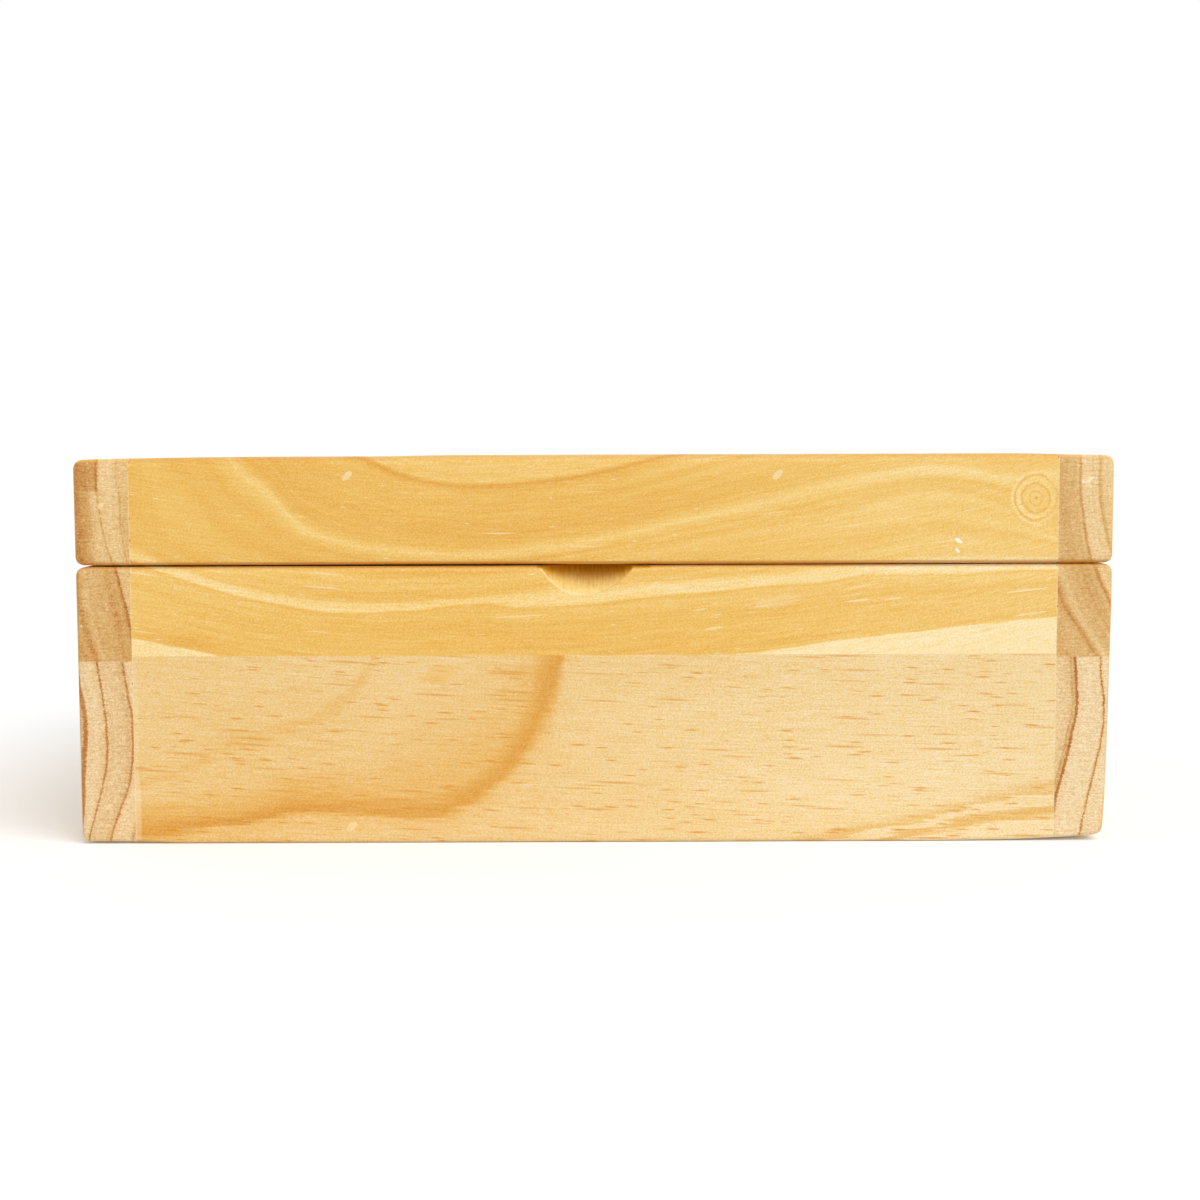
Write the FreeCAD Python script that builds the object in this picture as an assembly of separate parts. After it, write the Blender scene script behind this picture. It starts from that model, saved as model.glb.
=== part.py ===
"""Hinged pine keepsake box, 300 x 200 x 113 mm.

The body and the lid were glued up as one closed box from edge-glued boards, and the lid was
then sawn off. The walls meet in butt joints: the side boards run the whole depth and show
their end grain at the front and back. Each wall is nailed with headless brads, and every
brad hole is filled. Two surface-mounted butt hinges hold the lid at the back, and a sanded
scoop in the front wall lets a finger lift it.

Frame: +X right, -Y front, +Z up. The origin is the centre of the wooden underside.
Everything is in millimetres.
"""

import FreeCAD, Part
import math
import os

from FreeCAD import Placement, Rotation, Vector

# Whole box
BOX_WIDTH = 300.0  # left to right
BOX_DEPTH = 200.0  # front to back, wood only
BODY_HEIGHT = 81.2
LID_HEIGHT = 31.6
RIM_GAP = 0.35  # running gap between the two sawn rims

# Board thicknesses
WALL = 16.0
TOP_PANEL = 12.0
BOTTOM_PANEL = 10.0

# Heights of the boards glued along the top of each wall; the board below takes the rest
BODY_FRONT_UPPER = 26.0
BODY_BACK_UPPER = 32.5
BODY_LEFT_UPPER = 27.5
BODY_RIGHT_UPPER = 27.0
LID_LEFT_UPPER = 10.2
LID_RIGHT_UPPER = 7.2

# Widths of the outer boards of the two panels; the middle board takes the rest
TOP_FRONT_WIDTH = 53.0
TOP_REAR_WIDTH = 60.0
BOTTOM_FRONT_WIDTH = 58.0
BOTTOM_REAR_WIDTH = 54.0

# Sanded edges: END for the ends of the side walls, FACE for the edges along the front and back
CORNER_ROUND = 1.2
TOP_END_ROUND = 1.8
RIM_END_ROUND = 2.5
BASE_END_ROUND = 2.0
TOP_FACE_ROUND = 1.2
RIM_FACE_ROUND = 0.7
BASE_FACE_ROUND = 1.0

# Finger scoop, sanded with a drum that leans back into the front wall's rim
SCOOP_RADIUS = 16.8
SCOOP_SLOPE = 40.0  # degrees, from level
SCOOP_DEPTH = 8.2  # below the rim, on the front face
SCOOP_OFFSET = -1.3  # from the centre of the front

# Headless brads, each sunk under a plug of filler
BRAD_RADIUS = 0.6
BRAD_LENGTH = 25.0
BRAD_CLEARANCE = 0.05
LEFT_BRAD_INSET = 79.0  # along the front and back walls, from the box's left end
RIGHT_BRAD_INSET = 97.0  # from its right end
SIDE_BRAD_INSET = 50.0  # along the side walls, from the front and from the back
BODY_LOW_BRAD = 22.0  # corner brads: above the underside
BODY_HIGH_BRAD = 14.5  # below the body's rim
LID_CORNER_BRAD = 11.0  # above the lid's rim
PLUG_LONG = 1.7  # half-lengths of the oval plug
PLUG_SHORT = 1.0
PLUG_DEPTH = 1.5
PLUG_LEAN = -42.0  # degrees, of the oval's long axis
PLUG_CLEARANCE = 0.02

# Filled marks in the end grain at the front, from the top of the lid and from the underside
LEFT_LID_MARK = 14.2
RIGHT_LID_MARK = 7.4
LEFT_BODY_MARK = 11.0
RIGHT_BODY_MARK = 11.4

# Hinges
HINGE_LENGTH = 38.0
HINGE_INSET = 60.0  # from the box's end to the hinge's centre
LEAF_WIDTH = 15.0  # from the pin's axis to the leaf's edge
LEAF_THICKNESS = 1.2
LEAF_CORNER = 1.5
SHARP_CORNER = 0.3  # at the pin
PIN_RADIUS = 1.25
PIN_CLEARANCE = 0.05
PIN_HEAD_RADIUS = 1.9
PIN_HEAD_HEIGHT = 0.8
KNUCKLES = 5
KNUCKLE_GAP = 0.2
KNUCKLE_RELIEF = 0.35  # round the other leaf's knuckles
OVERRUN = 1.0  # of a drill past the metal it cuts

# Hinge screws
SCREW_HEAD_RADIUS = 2.7
SCREW_SHANK_RADIUS = 1.4
SCREW_LENGTH = 12.0
SCREW_TIP = 2.5
SCREW_CLEARANCE = 0.05
SCREW_INSET = 8.0  # from the leaf's end to the screw's centre
SCREW_SETBACK = 0.6  # from the middle of the leaf's flat to the screw's centre, away from the pin
RECESS_LENGTH = 3.0
RECESS_WIDTH = 0.7
RECESS_DEPTH = 0.9

# Places and sizes that follow from these
half_width = BOX_WIDTH / 2
half_depth = BOX_DEPTH / 2
inner_x = half_width - WALL
inner_y = half_depth - WALL
wall_middle_x = half_width - WALL / 2
wall_middle_y = half_depth - WALL / 2
lid_low = BODY_HEIGHT + RIM_GAP
lid_top = lid_low + LID_HEIGHT
panel_low = lid_top - TOP_PANEL
bore_radius = PIN_RADIUS + PIN_CLEARANCE
knuckle_radius = bore_radius + LEAF_THICKNESS
hinge_axis = Vector(0, half_depth + knuckle_radius, BODY_HEIGHT + RIM_GAP / 2)
hinge_x = half_width - HINGE_INSET
screw_reach = (knuckle_radius + LEAF_WIDTH) / 2 + SCREW_SETBACK
screw_dx = HINGE_LENGTH / 2 - SCREW_INSET

X_AXIS = Vector(1, 0, 0)
Y_AXIS = Vector(0, 1, 0)
Z_AXIS = Vector(0, 0, 1)
INWARD = {"front": Y_AXIS, "back": -Y_AXIS, "left": X_AXIS, "right": -X_AXIS}
DOWN = -1
UP = 1


# Outlines -----------------------------------------------------------------


def rounded_wire(corners, radii):
    """A closed flat wire through the corners, each rounded by its own radius."""
    edges = []
    starts = []
    ends = []
    mids = []
    count = len(corners)
    for i, (corner, radius) in enumerate(zip(corners, radii)):
        before = (corners[i - 1] - corner).normalize()
        after = (corners[(i + 1) % count] - corner).normalize()
        half_angle = before.getAngle(after) / 2
        reach = radius / math.tan(half_angle)
        to_centre = (before + after).normalize()
        centre = corner + to_centre * (radius / math.sin(half_angle))
        starts.append(corner + before * reach)
        ends.append(corner + after * reach)
        mids.append(centre - to_centre * radius)
    for i in range(count):
        edges.append(Part.Arc(starts[i], mids[i], ends[i]).toShape())
        edges.append(Part.LineSegment(ends[i], starts[(i + 1) % count]).toShape())
    return Part.Wire(edges)


def eased_block(z_low, z_high, low_end, high_end, low_face, high_face):
    """The wooden outside of the body or the lid: its three outlines, cut from one block."""
    front = rounded_wire(
        [
            Vector(-half_width, -half_depth, z_low),
            Vector(half_width, -half_depth, z_low),
            Vector(half_width, -half_depth, z_high),
            Vector(-half_width, -half_depth, z_high),
        ],
        [low_end, low_end, high_end, high_end],
    )
    side = rounded_wire(
        [
            Vector(-half_width, -half_depth, z_low),
            Vector(-half_width, half_depth, z_low),
            Vector(-half_width, half_depth, z_high),
            Vector(-half_width, -half_depth, z_high),
        ],
        [low_face, low_face, high_face, high_face],
    )
    plan = rounded_wire(
        [
            Vector(-half_width, -half_depth, z_low),
            Vector(half_width, -half_depth, z_low),
            Vector(half_width, half_depth, z_low),
            Vector(-half_width, half_depth, z_low),
        ],
        [CORNER_ROUND] * 4,
    )
    along_y = Part.Face(front).extrude(Y_AXIS * BOX_DEPTH)
    along_x = Part.Face(side).extrude(X_AXIS * BOX_WIDTH)
    along_z = Part.Face(plan).extrude(Z_AXIS * (z_high - z_low))
    return along_y.common(along_x).common(along_z)


# Brads and their filler -----------------------------------------------------


def turned_to(shape, place, inward):
    """The shape, modelled along +Z from the origin, set at a place on a face and pointing inward."""
    shape.Placement = Placement(place, Rotation(Z_AXIS, inward))
    return shape


def plug(place, inward, extra=0.0):
    """Oval plug of filler, flush with the face, or its pocket when extra is the clearance."""
    oval = Part.Ellipse(Vector(0, 0, 0), PLUG_LONG + extra, PLUG_SHORT + extra).toShape()
    solid = Part.Face(Part.Wire([oval])).extrude(Z_AXIS * PLUG_DEPTH)
    solid.rotate(Vector(0, 0, 0), Z_AXIS, PLUG_LEAN)
    return turned_to(Part.makeCompound([solid]), place, inward).Solids[0]


def brad(place, inward, extra=0.0):
    """Headless brad behind its plug, or its hole when extra is the clearance."""
    solid = Part.makeCylinder(BRAD_RADIUS + extra, BRAD_LENGTH + extra)
    return turned_to(solid, place + inward * PLUG_DEPTH, inward)


def panel_places(height):
    """Where brads enter the four walls to hold a panel at this height."""
    places = []
    for x in (LEFT_BRAD_INSET - half_width, half_width - RIGHT_BRAD_INSET):
        places.append((Vector(x, -half_depth, height), INWARD["front"]))
        places.append((Vector(x, half_depth, height), INWARD["back"]))
    for y in (SIDE_BRAD_INSET - half_depth, half_depth - SIDE_BRAD_INSET):
        places.append((Vector(-half_width, y, height), INWARD["left"]))
        places.append((Vector(half_width, y, height), INWARD["right"]))
    return places


def corner_places(heights):
    """Where brads enter the side walls to hold the ends of the front and back walls."""
    places = []
    for height in heights:
        for y in (-wall_middle_y, wall_middle_y):
            places.append((Vector(-half_width, y, height), INWARD["left"]))
            places.append((Vector(half_width, y, height), INWARD["right"]))
    return places


def mark_places(left_height, right_height):
    """The filled marks in the end grain of the side walls, at the front."""
    return [
        (Vector(-wall_middle_x, -half_depth, left_height), INWARD["front"]),
        (Vector(wall_middle_x, -half_depth, right_height), INWARD["front"]),
    ]


def brads(places):
    return Part.makeCompound([brad(place, inward) for place, inward in places])


def plugs(places):
    return Part.makeCompound([plug(place, inward) for place, inward in places])


def brad_holes(places):
    return [brad(place, inward, BRAD_CLEARANCE) for place, inward in places]


def plug_pockets(places):
    return [plug(place, inward, PLUG_CLEARANCE) for place, inward in places]


# Hinges ---------------------------------------------------------------------


def hinge_centre(side):
    return hinge_axis + X_AXIS * (side * hinge_x)


def knuckle_spans(first):
    """Start and length, along the pin, of every second knuckle from the first one."""
    pitch = HINGE_LENGTH / KNUCKLES
    start = -HINGE_LENGTH / 2
    return [
        (start + i * pitch + KNUCKLE_GAP / 2, pitch - KNUCKLE_GAP)
        for i in range(first, KNUCKLES, 2)
    ]


def screw_places(side, way):
    """Where the screw heads of a leaf lie, way being UP for the lid's leaf."""
    centre = hinge_centre(side)
    outer = half_depth + LEAF_THICKNESS
    return [
        Vector(centre.x + dx, outer, centre.z + way * screw_reach)
        for dx in (-screw_dx, screw_dx)
    ]


def screw_body(place, extra=0.0):
    """Screw with a 90 degree head and no recess, or its hole when extra is the clearance."""
    head = SCREW_HEAD_RADIUS + extra
    shank = SCREW_SHANK_RADIUS + extra
    length = SCREW_LENGTH + extra
    neck = SCREW_HEAD_RADIUS - SCREW_SHANK_RADIUS
    profile = Part.makePolygon(
        [
            Vector(0, 0, 0),
            Vector(head, 0, 0),
            Vector(shank, 0, neck),
            Vector(shank, 0, length - SCREW_TIP),
            Vector(0, 0, length),
            Vector(0, 0, 0),
        ]
    )
    solid = Part.Face(profile).revolve(Vector(0, 0, 0), Z_AXIS, 360)
    return turned_to(Part.makeCompound([solid]), place, INWARD["back"]).Solids[0]


def screw(place):
    """Countersunk screw with a cross recess in its head."""
    solid = screw_body(place)
    for long_x, long_z in ((RECESS_LENGTH, RECESS_WIDTH), (RECESS_WIDTH, RECESS_LENGTH)):
        corner = Vector(place.x - long_x / 2, place.y - RECESS_DEPTH, place.z - long_z / 2)
        solid = solid.cut(Part.makeBox(long_x, RECESS_DEPTH, long_z, corner))
    return solid.Solids[0]


def hinge_screws(side, way):
    return Part.makeCompound([screw(place) for place in screw_places(side, way)])


def screw_holes(way):
    """Pilot holes in the wood for both hinges' leaves on one side of the pin."""
    places = screw_places(-1, way) + screw_places(1, way)
    return [screw_body(place, SCREW_CLEARANCE) for place in places]


def hinge_leaf(side, way, first):
    """Leaf flat on the back wall, rolled round the pin at every second knuckle."""
    centre = hinge_centre(side)
    half = HINGE_LENGTH / 2
    edge = centre.z + way * LEAF_WIDTH
    outline = rounded_wire(
        [
            Vector(centre.x - half, half_depth, centre.z),
            Vector(centre.x + half, half_depth, centre.z),
            Vector(centre.x + half, half_depth, edge),
            Vector(centre.x - half, half_depth, edge),
        ],
        [SHARP_CORNER, SHARP_CORNER, LEAF_CORNER, LEAF_CORNER],
    )
    leaf = Part.Face(outline).extrude(Y_AXIS * LEAF_THICKNESS)
    relief_radius = knuckle_radius + KNUCKLE_RELIEF
    for start, length in knuckle_spans(1 - first):
        base = centre + X_AXIS * (start - KNUCKLE_GAP)
        leaf = leaf.cut(Part.makeCylinder(relief_radius, length + 2 * KNUCKLE_GAP, base, X_AXIS))
    for start, length in knuckle_spans(first):
        leaf = leaf.fuse(Part.makeCylinder(knuckle_radius, length, centre + X_AXIS * start, X_AXIS))
    bore_start = centre - X_AXIS * (half + OVERRUN)
    bore = Part.makeCylinder(bore_radius, HINGE_LENGTH + 2 * OVERRUN, bore_start, X_AXIS)
    holes = [screw_body(place, SCREW_CLEARANCE) for place in screw_places(side, way)]
    return leaf.cut([bore, *holes]).removeSplitter().Solids[0]


def hinge_pin(side):
    """Pin with a low head at each end, held in the body leaf's outer knuckles."""
    centre = hinge_centre(side)
    half = HINGE_LENGTH / 2
    pin = Part.makeCylinder(PIN_RADIUS, HINGE_LENGTH, centre - X_AXIS * half, X_AXIS)
    for end in (-1, 1):
        base = centre + X_AXIS * (end * half)
        pin = pin.fuse(Part.makeCylinder(PIN_HEAD_RADIUS, PIN_HEAD_HEIGHT, base, X_AXIS * end))
    return pin.removeSplitter().Solids[0]


# Boards ---------------------------------------------------------------------


def board(envelope, cuts, x, y, z):
    """One board: its block inside the rounded outside, less its holes and pockets."""
    blank = Part.makeBox(x[1] - x[0], y[1] - y[0], z[1] - z[0], Vector(x[0], y[0], z[0]))
    return blank.common(envelope).cut(cuts).removeSplitter().Solids[0]


def finger_scoop():
    """The drum that sands the scoop; its lowest line meets the front face below the rim."""
    slope = math.radians(SCOOP_SLOPE)
    along = Vector(0, math.cos(slope), math.sin(slope))
    across = Vector(0, -math.sin(slope), math.cos(slope))
    lowest = Vector(SCOOP_OFFSET, -half_depth, BODY_HEIGHT - SCOOP_DEPTH)
    reach = 2 * (SCOOP_DEPTH + SCOOP_RADIUS)
    base = lowest + across * SCOOP_RADIUS - along * reach
    return Part.makeCylinder(SCOOP_RADIUS, 2 * reach, base, along)


def wall_boards(prefix, envelope, cuts, low, high, uppers):
    """The four walls between two heights; uppers gives each upper board's height, or None."""
    spans = {
        "front": ((-inner_x, inner_x), (-half_depth, -inner_y)),
        "back": ((-inner_x, inner_x), (inner_y, half_depth)),
        "left": ((-half_width, -inner_x), (-half_depth, half_depth)),
        "right": ((inner_x, half_width), (-half_depth, half_depth)),
    }
    boards = {}
    for wall, (x, y) in spans.items():
        upper = uppers[wall]
        if upper is None:
            boards[f"{prefix}_{wall}_board"] = board(envelope, cuts, x, y, (low, high))
            continue
        seam = high - upper
        boards[f"{prefix}_{wall}_lower_board"] = board(envelope, cuts, x, y, (low, seam))
        boards[f"{prefix}_{wall}_upper_board"] = board(envelope, cuts, x, y, (seam, high))
    return boards


def panel_boards(prefix, envelope, cuts, z, front_width, rear_width):
    """A panel of three edge-glued boards, let in between the walls."""
    edges = [-inner_y, front_width - inner_y, inner_y - rear_width, inner_y]
    names = ["front", "middle", "rear"]
    return {
        f"{prefix}_{name}_board": board(envelope, cuts, (-inner_x, inner_x), y, z)
        for name, y in zip(names, zip(edges, edges[1:]))
    }


# Assembly -------------------------------------------------------------------


def body_parts():
    panel = panel_places(BOTTOM_PANEL / 2)
    corner = corner_places([BODY_LOW_BRAD, BODY_HEIGHT - BODY_HIGH_BRAD])
    marks = mark_places(LEFT_BODY_MARK, RIGHT_BODY_MARK)
    holes = brad_holes(panel + corner) + plug_pockets(panel + corner + marks)
    cuts = holes + screw_holes(DOWN) + [finger_scoop()]
    outside = eased_block(
        0, BODY_HEIGHT, BASE_END_ROUND, RIM_END_ROUND, BASE_FACE_ROUND, RIM_FACE_ROUND
    )
    uppers = {
        "front": BODY_FRONT_UPPER,
        "back": BODY_BACK_UPPER,
        "left": BODY_LEFT_UPPER,
        "right": BODY_RIGHT_UPPER,
    }
    return {
        **wall_boards("body", outside, cuts, 0, BODY_HEIGHT, uppers),
        **panel_boards(
            "bottom", outside, holes, (0, BOTTOM_PANEL), BOTTOM_FRONT_WIDTH, BOTTOM_REAR_WIDTH
        ),
        "body_corner_brads": brads(corner),
        "bottom_panel_brads": brads(panel),
        "body_filler_plugs": plugs(panel + corner + marks),
    }


def lid_parts():
    panel = panel_places(lid_top - TOP_PANEL / 2)
    corner = corner_places([lid_low + LID_CORNER_BRAD])
    marks = mark_places(lid_top - LEFT_LID_MARK, lid_top - RIGHT_LID_MARK)
    holes = brad_holes(panel + corner) + plug_pockets(panel + corner + marks)
    cuts = holes + screw_holes(UP)
    outside = eased_block(
        lid_low, lid_top, RIM_END_ROUND, TOP_END_ROUND, RIM_FACE_ROUND, TOP_FACE_ROUND
    )
    uppers = {"front": None, "back": None, "left": LID_LEFT_UPPER, "right": LID_RIGHT_UPPER}
    return {
        **wall_boards("lid", outside, cuts, lid_low, lid_top, uppers),
        **panel_boards(
            "lid_top", outside, holes, (panel_low, lid_top), TOP_FRONT_WIDTH, TOP_REAR_WIDTH
        ),
        "lid_corner_brads": brads(corner),
        "lid_panel_brads": brads(panel),
        "lid_filler_plugs": plugs(panel + corner + marks),
    }


def hinge_parts():
    parts = {}
    for name, side in (("left", -1), ("right", 1)):
        parts[f"{name}_hinge_body_leaf"] = hinge_leaf(side, DOWN, 0)
        parts[f"{name}_hinge_lid_leaf"] = hinge_leaf(side, UP, 1)
        parts[f"{name}_hinge_pin"] = hinge_pin(side)
        parts[f"{name}_hinge_body_screws"] = hinge_screws(side, DOWN)
        parts[f"{name}_hinge_lid_screws"] = hinge_screws(side, UP)
    return parts


os.makedirs("parts", exist_ok=True)
for node, shape in {**body_parts(), **lid_parts(), **hinge_parts()}.items():
    if not shape.isValid():
        raise ValueError(f"{node} isn't a valid shape")
    shape.exportStep(f"parts/{node}.step")
    print(f"{node}: {len(shape.Solids)} solid(s), {shape.Volume / 1000:.2f} cm3")
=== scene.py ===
# %% [markdown]
# # A hinged pine keepsake box
#
# The box is solid pine, glued up as one closed block and then sawn into a body and a lid, so the
# grain of the front runs on across the split. Nothing is painted or lacquered. The whole look is
# wood: growth rings on the faces, end grain at the corners, glue lines, filled nail holes and a
# sanded finger notch.
#
# The construction comes in as a fixed frame. This lesson dresses it, one finish at a time.

# %% Load the frame
import math

import bpy
from mathutils import Euler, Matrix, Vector


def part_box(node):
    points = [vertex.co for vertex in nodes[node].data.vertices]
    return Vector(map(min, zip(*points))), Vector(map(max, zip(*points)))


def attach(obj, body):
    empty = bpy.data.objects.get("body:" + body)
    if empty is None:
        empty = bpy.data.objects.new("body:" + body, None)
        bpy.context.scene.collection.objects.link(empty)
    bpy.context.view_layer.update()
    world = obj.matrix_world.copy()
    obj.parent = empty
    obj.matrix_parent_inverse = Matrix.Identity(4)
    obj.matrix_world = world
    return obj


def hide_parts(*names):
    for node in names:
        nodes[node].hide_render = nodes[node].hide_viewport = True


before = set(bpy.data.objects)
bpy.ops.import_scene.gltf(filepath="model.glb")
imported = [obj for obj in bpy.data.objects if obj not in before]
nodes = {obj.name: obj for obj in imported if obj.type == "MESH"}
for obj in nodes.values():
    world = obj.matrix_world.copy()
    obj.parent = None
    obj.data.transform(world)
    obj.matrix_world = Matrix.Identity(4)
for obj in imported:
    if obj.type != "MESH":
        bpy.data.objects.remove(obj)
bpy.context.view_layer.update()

print("the frame has", len(nodes), "nodes")

# %% [markdown]
# ## Places on the box
#
# The finishes and the pieces follow the boards, so they take their places from them: where the
# walls end, where the glue joints run and where the saw went through. A wall is 16 mm of pine.
# Everything below is counted in millimetres and turned into Blender's metres at the last moment.

# %% Places, in millimetres
MM = 0.001


def mm(*values):
    """Millimetres as Blender's metres."""
    return tuple(value * MM for value in values)


def span(node, axis):
    """Lowest and highest place of a CAD node along an axis, in millimetres."""
    low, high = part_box(node)
    return low[axis] / MM, high[axis] / MM


left, right = span("body_left_lower_board", 0)[0], span("body_right_lower_board", 0)[1]
front, back = span("body_left_lower_board", 1)
joint_left, joint_right = span("body_front_lower_board", 0)
body_rim = span("body_front_upper_board", 2)[1]
lid_rim, lid_top = span("lid_front_board", 2)
print("walls from", left, "to", right, "and from", front, "to", back)
print("glue joints at", joint_left, joint_right, "and the rim at", body_rim)

# %% [markdown]
# ## Shader maths as plain Python
#
# Wood is drawn with a lot of small sums: how far a point lies below a growth ring, how much of a
# streak it is in. A `Wire` stands for one value on its way through the nodes. Adding or
# multiplying wires adds the Math nodes, so a formula reads like a formula.

# %% A wire through a material
class Wire:
    """A value on its way through a material's nodes. Arithmetic on it adds Math nodes."""

    tree = None

    def __init__(self, socket):
        self.socket = socket

    @classmethod
    def node(cls, kind, settings=None, inputs=None, output=0):
        """Adds one node: its settings first, then the values or wires of its inputs."""
        node = cls.tree.nodes.new(f"ShaderNode{kind}")
        for name, value in (settings or {}).items():
            if name == "stops":
                fill_ramp(node.color_ramp, value)
            elif name == "points":
                fill_curve(node.mapping, value)
            else:
                setattr(node, name, value)
        for name, value in (inputs or {}).items():
            if isinstance(value, Wire):
                cls.tree.links.new(value.socket, node.inputs[name])
            else:
                node.inputs[name].default_value = value
        return cls(node.outputs[output])

    def math(self, operation, *others, clamp=False):
        values = dict(enumerate((self, *others)))
        return Wire.node("Math", {"operation": operation, "use_clamp": clamp}, values)

    def __add__(self, other):
        return self.math("ADD", other)

    def __sub__(self, other):
        return self.math("SUBTRACT", other)

    def __mul__(self, other):
        return self.math("MULTIPLY", other)

    def __truediv__(self, other):
        return self.math("DIVIDE", other)

    def __rsub__(self, other):
        return Wire.node("Math", {"operation": "SUBTRACT"}, {0: other, 1: self})

    __radd__ = __add__
    __rmul__ = __mul__

    def clamp(self):
        return self.math("ADD", 0.0, clamp=True)

    def size(self):
        return self.math("ABSOLUTE")


def fill_ramp(ramp, stops):
    """Sets a colour ramp's stops, each a place from 0 to 1 and a colour or a grey."""
    while len(ramp.elements) > 1:
        ramp.elements.remove(ramp.elements[-1])
    for i, (place, colour) in enumerate(stops):
        element = ramp.elements[0] if i == 0 else ramp.elements.new(place)
        element.position = place
        element.color = colour if isinstance(colour, tuple) else (colour, colour, colour, 1)


def fill_curve(mapping, points):
    """Sets a curve's points, each a place and a value from 0 to 1, with smooth bends."""
    curve = mapping.curves[0]
    for i, (place, value) in enumerate(points):
        if i < 2:
            curve.points[i].location = (place, value)
        else:
            curve.points.new(place, value)
    for knot in curve.points:
        knot.handle_type = "AUTO_CLAMPED"
    mapping.update()


print("a wire can add, subtract, multiply and divide")

# %% [markdown]
# ## Small tools for every finish
#
# `fade` turns a distance into a soft mask, `cloud` is noise, `strands` is noise pulled out along
# the grain, and `blend` mixes colours. Colours are written as they look on a screen, from 0 to
# 255. Dark spots in wood aren't grey: they turn amber, so `toasted` takes more from blue than from
# red.

# %% Masks, noise and colours
def paint(red, green, blue):
    """A colour as seen on a screen, 0 to 255, as the linear colour a shader wants."""
    def linear(c):
        c /= 255
        return c / 12.92 if c <= 0.04045 else ((c + 0.055) / 1.055) ** 2.4

    return (linear(red), linear(green), linear(blue), 1.0)


def fade(value, low, high):
    """0 at low, 1 at high and beyond, with a smooth step between. Low may be the larger one."""
    return Wire.node(
        "MapRange",
        {"interpolation_type": "SMOOTHSTEP"},
        {"Value": value, "From Min": low, "From Max": high},
    )


def spread(place, sizes, seed):
    """The place measured in blob sizes, as one vector, moved on by the seed."""
    x, y, z = (axis / size + seed for axis, size in zip(place, sizes))
    return Wire.node("CombineXYZ", None, {"X": x, "Y": y, "Z": z})


def cloud(place, sizes, seed, detail=2.0):
    """Noise about 0, mostly from -0.3 to 0.3, its blobs as long as sizes says along each axis."""
    inputs = {"Vector": spread(place, sizes, seed), "Scale": 1.0, "Detail": detail}
    return Wire.node("TexNoise", None, inputs) - 0.5


def stretch(grain, along, across):
    return [along if axis == grain else across for axis in range(3)]


def strands(place, grain, along, across, seed, detail=2.0):
    """Noise in strands, so long along the grain and so wide across it."""
    return cloud(place, stretch(grain, along, across), seed, detail)


def blend(share, first, second, kind="MIX"):
    """Mixes two colours; share 0 is the first."""
    settings = {"data_type": "RGBA", "blend_type": kind}
    return Wire.node("Mix", settings, {0: share, 6: first, 7: second}, 2)


def shaded(colour, value):
    """The colour made lighter or darker by a value about 1."""
    return blend(1.0, colour, value, "MULTIPLY")


def toasted(colour, amount, red, green, blue):
    """Darkened as wood darkens, each channel by its own rate; blue goes first and red last."""
    rates = {"Red": red, "Green": green, "Blue": blue}
    factors = {name: 1.0 - amount * rate for name, rate in rates.items()}
    return blend(1.0, colour, Wire.node("CombineColor", None, factors), "MULTIPLY")


print("pine gold is", tuple(round(c, 3) for c in paint(238, 192, 101)))

# %% [markdown]
# ## Spindles
#
# Resin canals show on a face as short brown spindles, and torn fibres as pale ones. A Voronoi
# texture gives each of its cells one spot. Pulled out along the grain a spot becomes a spindle,
# and the cell's random colour says whether it is there at all and how long it is.

# %% Scattered spindles
def spindles(place, cell, share, reach, seed):
    """A mask of streaks in a share of the cells; reach is the longest, in cell lengths."""
    inputs = {"Vector": spread(place, cell, seed), "Scale": 1.0}
    spots = Wire.node("TexVoronoi", None, inputs).socket.node.outputs
    chance = Wire.node("SeparateColor", None, {"Color": Wire(spots["Color"])})
    size = ((chance - (1.0 - share)) * (reach / share)).math("MAXIMUM", 0.001)
    return fade(Wire(spots["Distance"]), size, size * 0.1)


def long_and_short(place, grain, long, short, seed):
    """Spindles of two lengths, each (along, across, share, reach); the long ones are fainter."""
    masks = [
        spindles(place, stretch(grain, along, across), share, reach, seed + 2.0 * i)
        for i, (along, across, share, reach) in enumerate((long, short))
    ]
    return (masks[0] * 0.7).math("MAXIMUM", masks[1])


print("a cell holds one spindle at most")

# %% [markdown]
# ## Where a point is, and what it faces
#
# Every finish reads Object coordinates. The pieces all sit at the origin, so these are places on
# the box, and a pattern runs on from one board to the next. The normal in object space tells a
# long-grain face from end grain, and a flat face from a rounded arris.

# %% Place, facing and material helpers
def coordinates(kind):
    """The three parts of a texture coordinate as wires."""
    vector = Wire.node("TexCoord", None, None, kind)
    axes = Wire.node("SeparateXYZ", None, {"Vector": vector}).socket.node.outputs
    return [Wire(axis) for axis in axes]


def position():
    """The three object coordinates as wires, in millimetres."""
    return [axis / MM for axis in coordinates("Object")]


def start_material(name):
    material = bpy.data.materials.new(name)
    material.use_nodes = True
    material.node_tree.nodes.clear()
    Wire.tree = material.node_tree
    return material


def finish_material(material, colour, roughness, relief, relief_depth, **constants):
    """Joins colour, roughness and relief to one surface; constants are set on its sockets."""
    bump = {"Height": relief, "Strength": 1.0, "Distance": relief_depth * MM}
    inputs = {
        "Base Color": colour,
        "Roughness": roughness,
        "Normal": Wire.node("Bump", None, bump),
    }
    inputs.update({name.replace("_", " "): value for name, value in constants.items()})
    surface = Wire.node("BsdfPrincipled", None, inputs)
    output = material.node_tree.nodes.new("ShaderNodeOutputMaterial")
    Wire.tree.links.new(surface.socket, output.inputs["Surface"])
    return material


print("materials read object coordinates")

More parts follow.
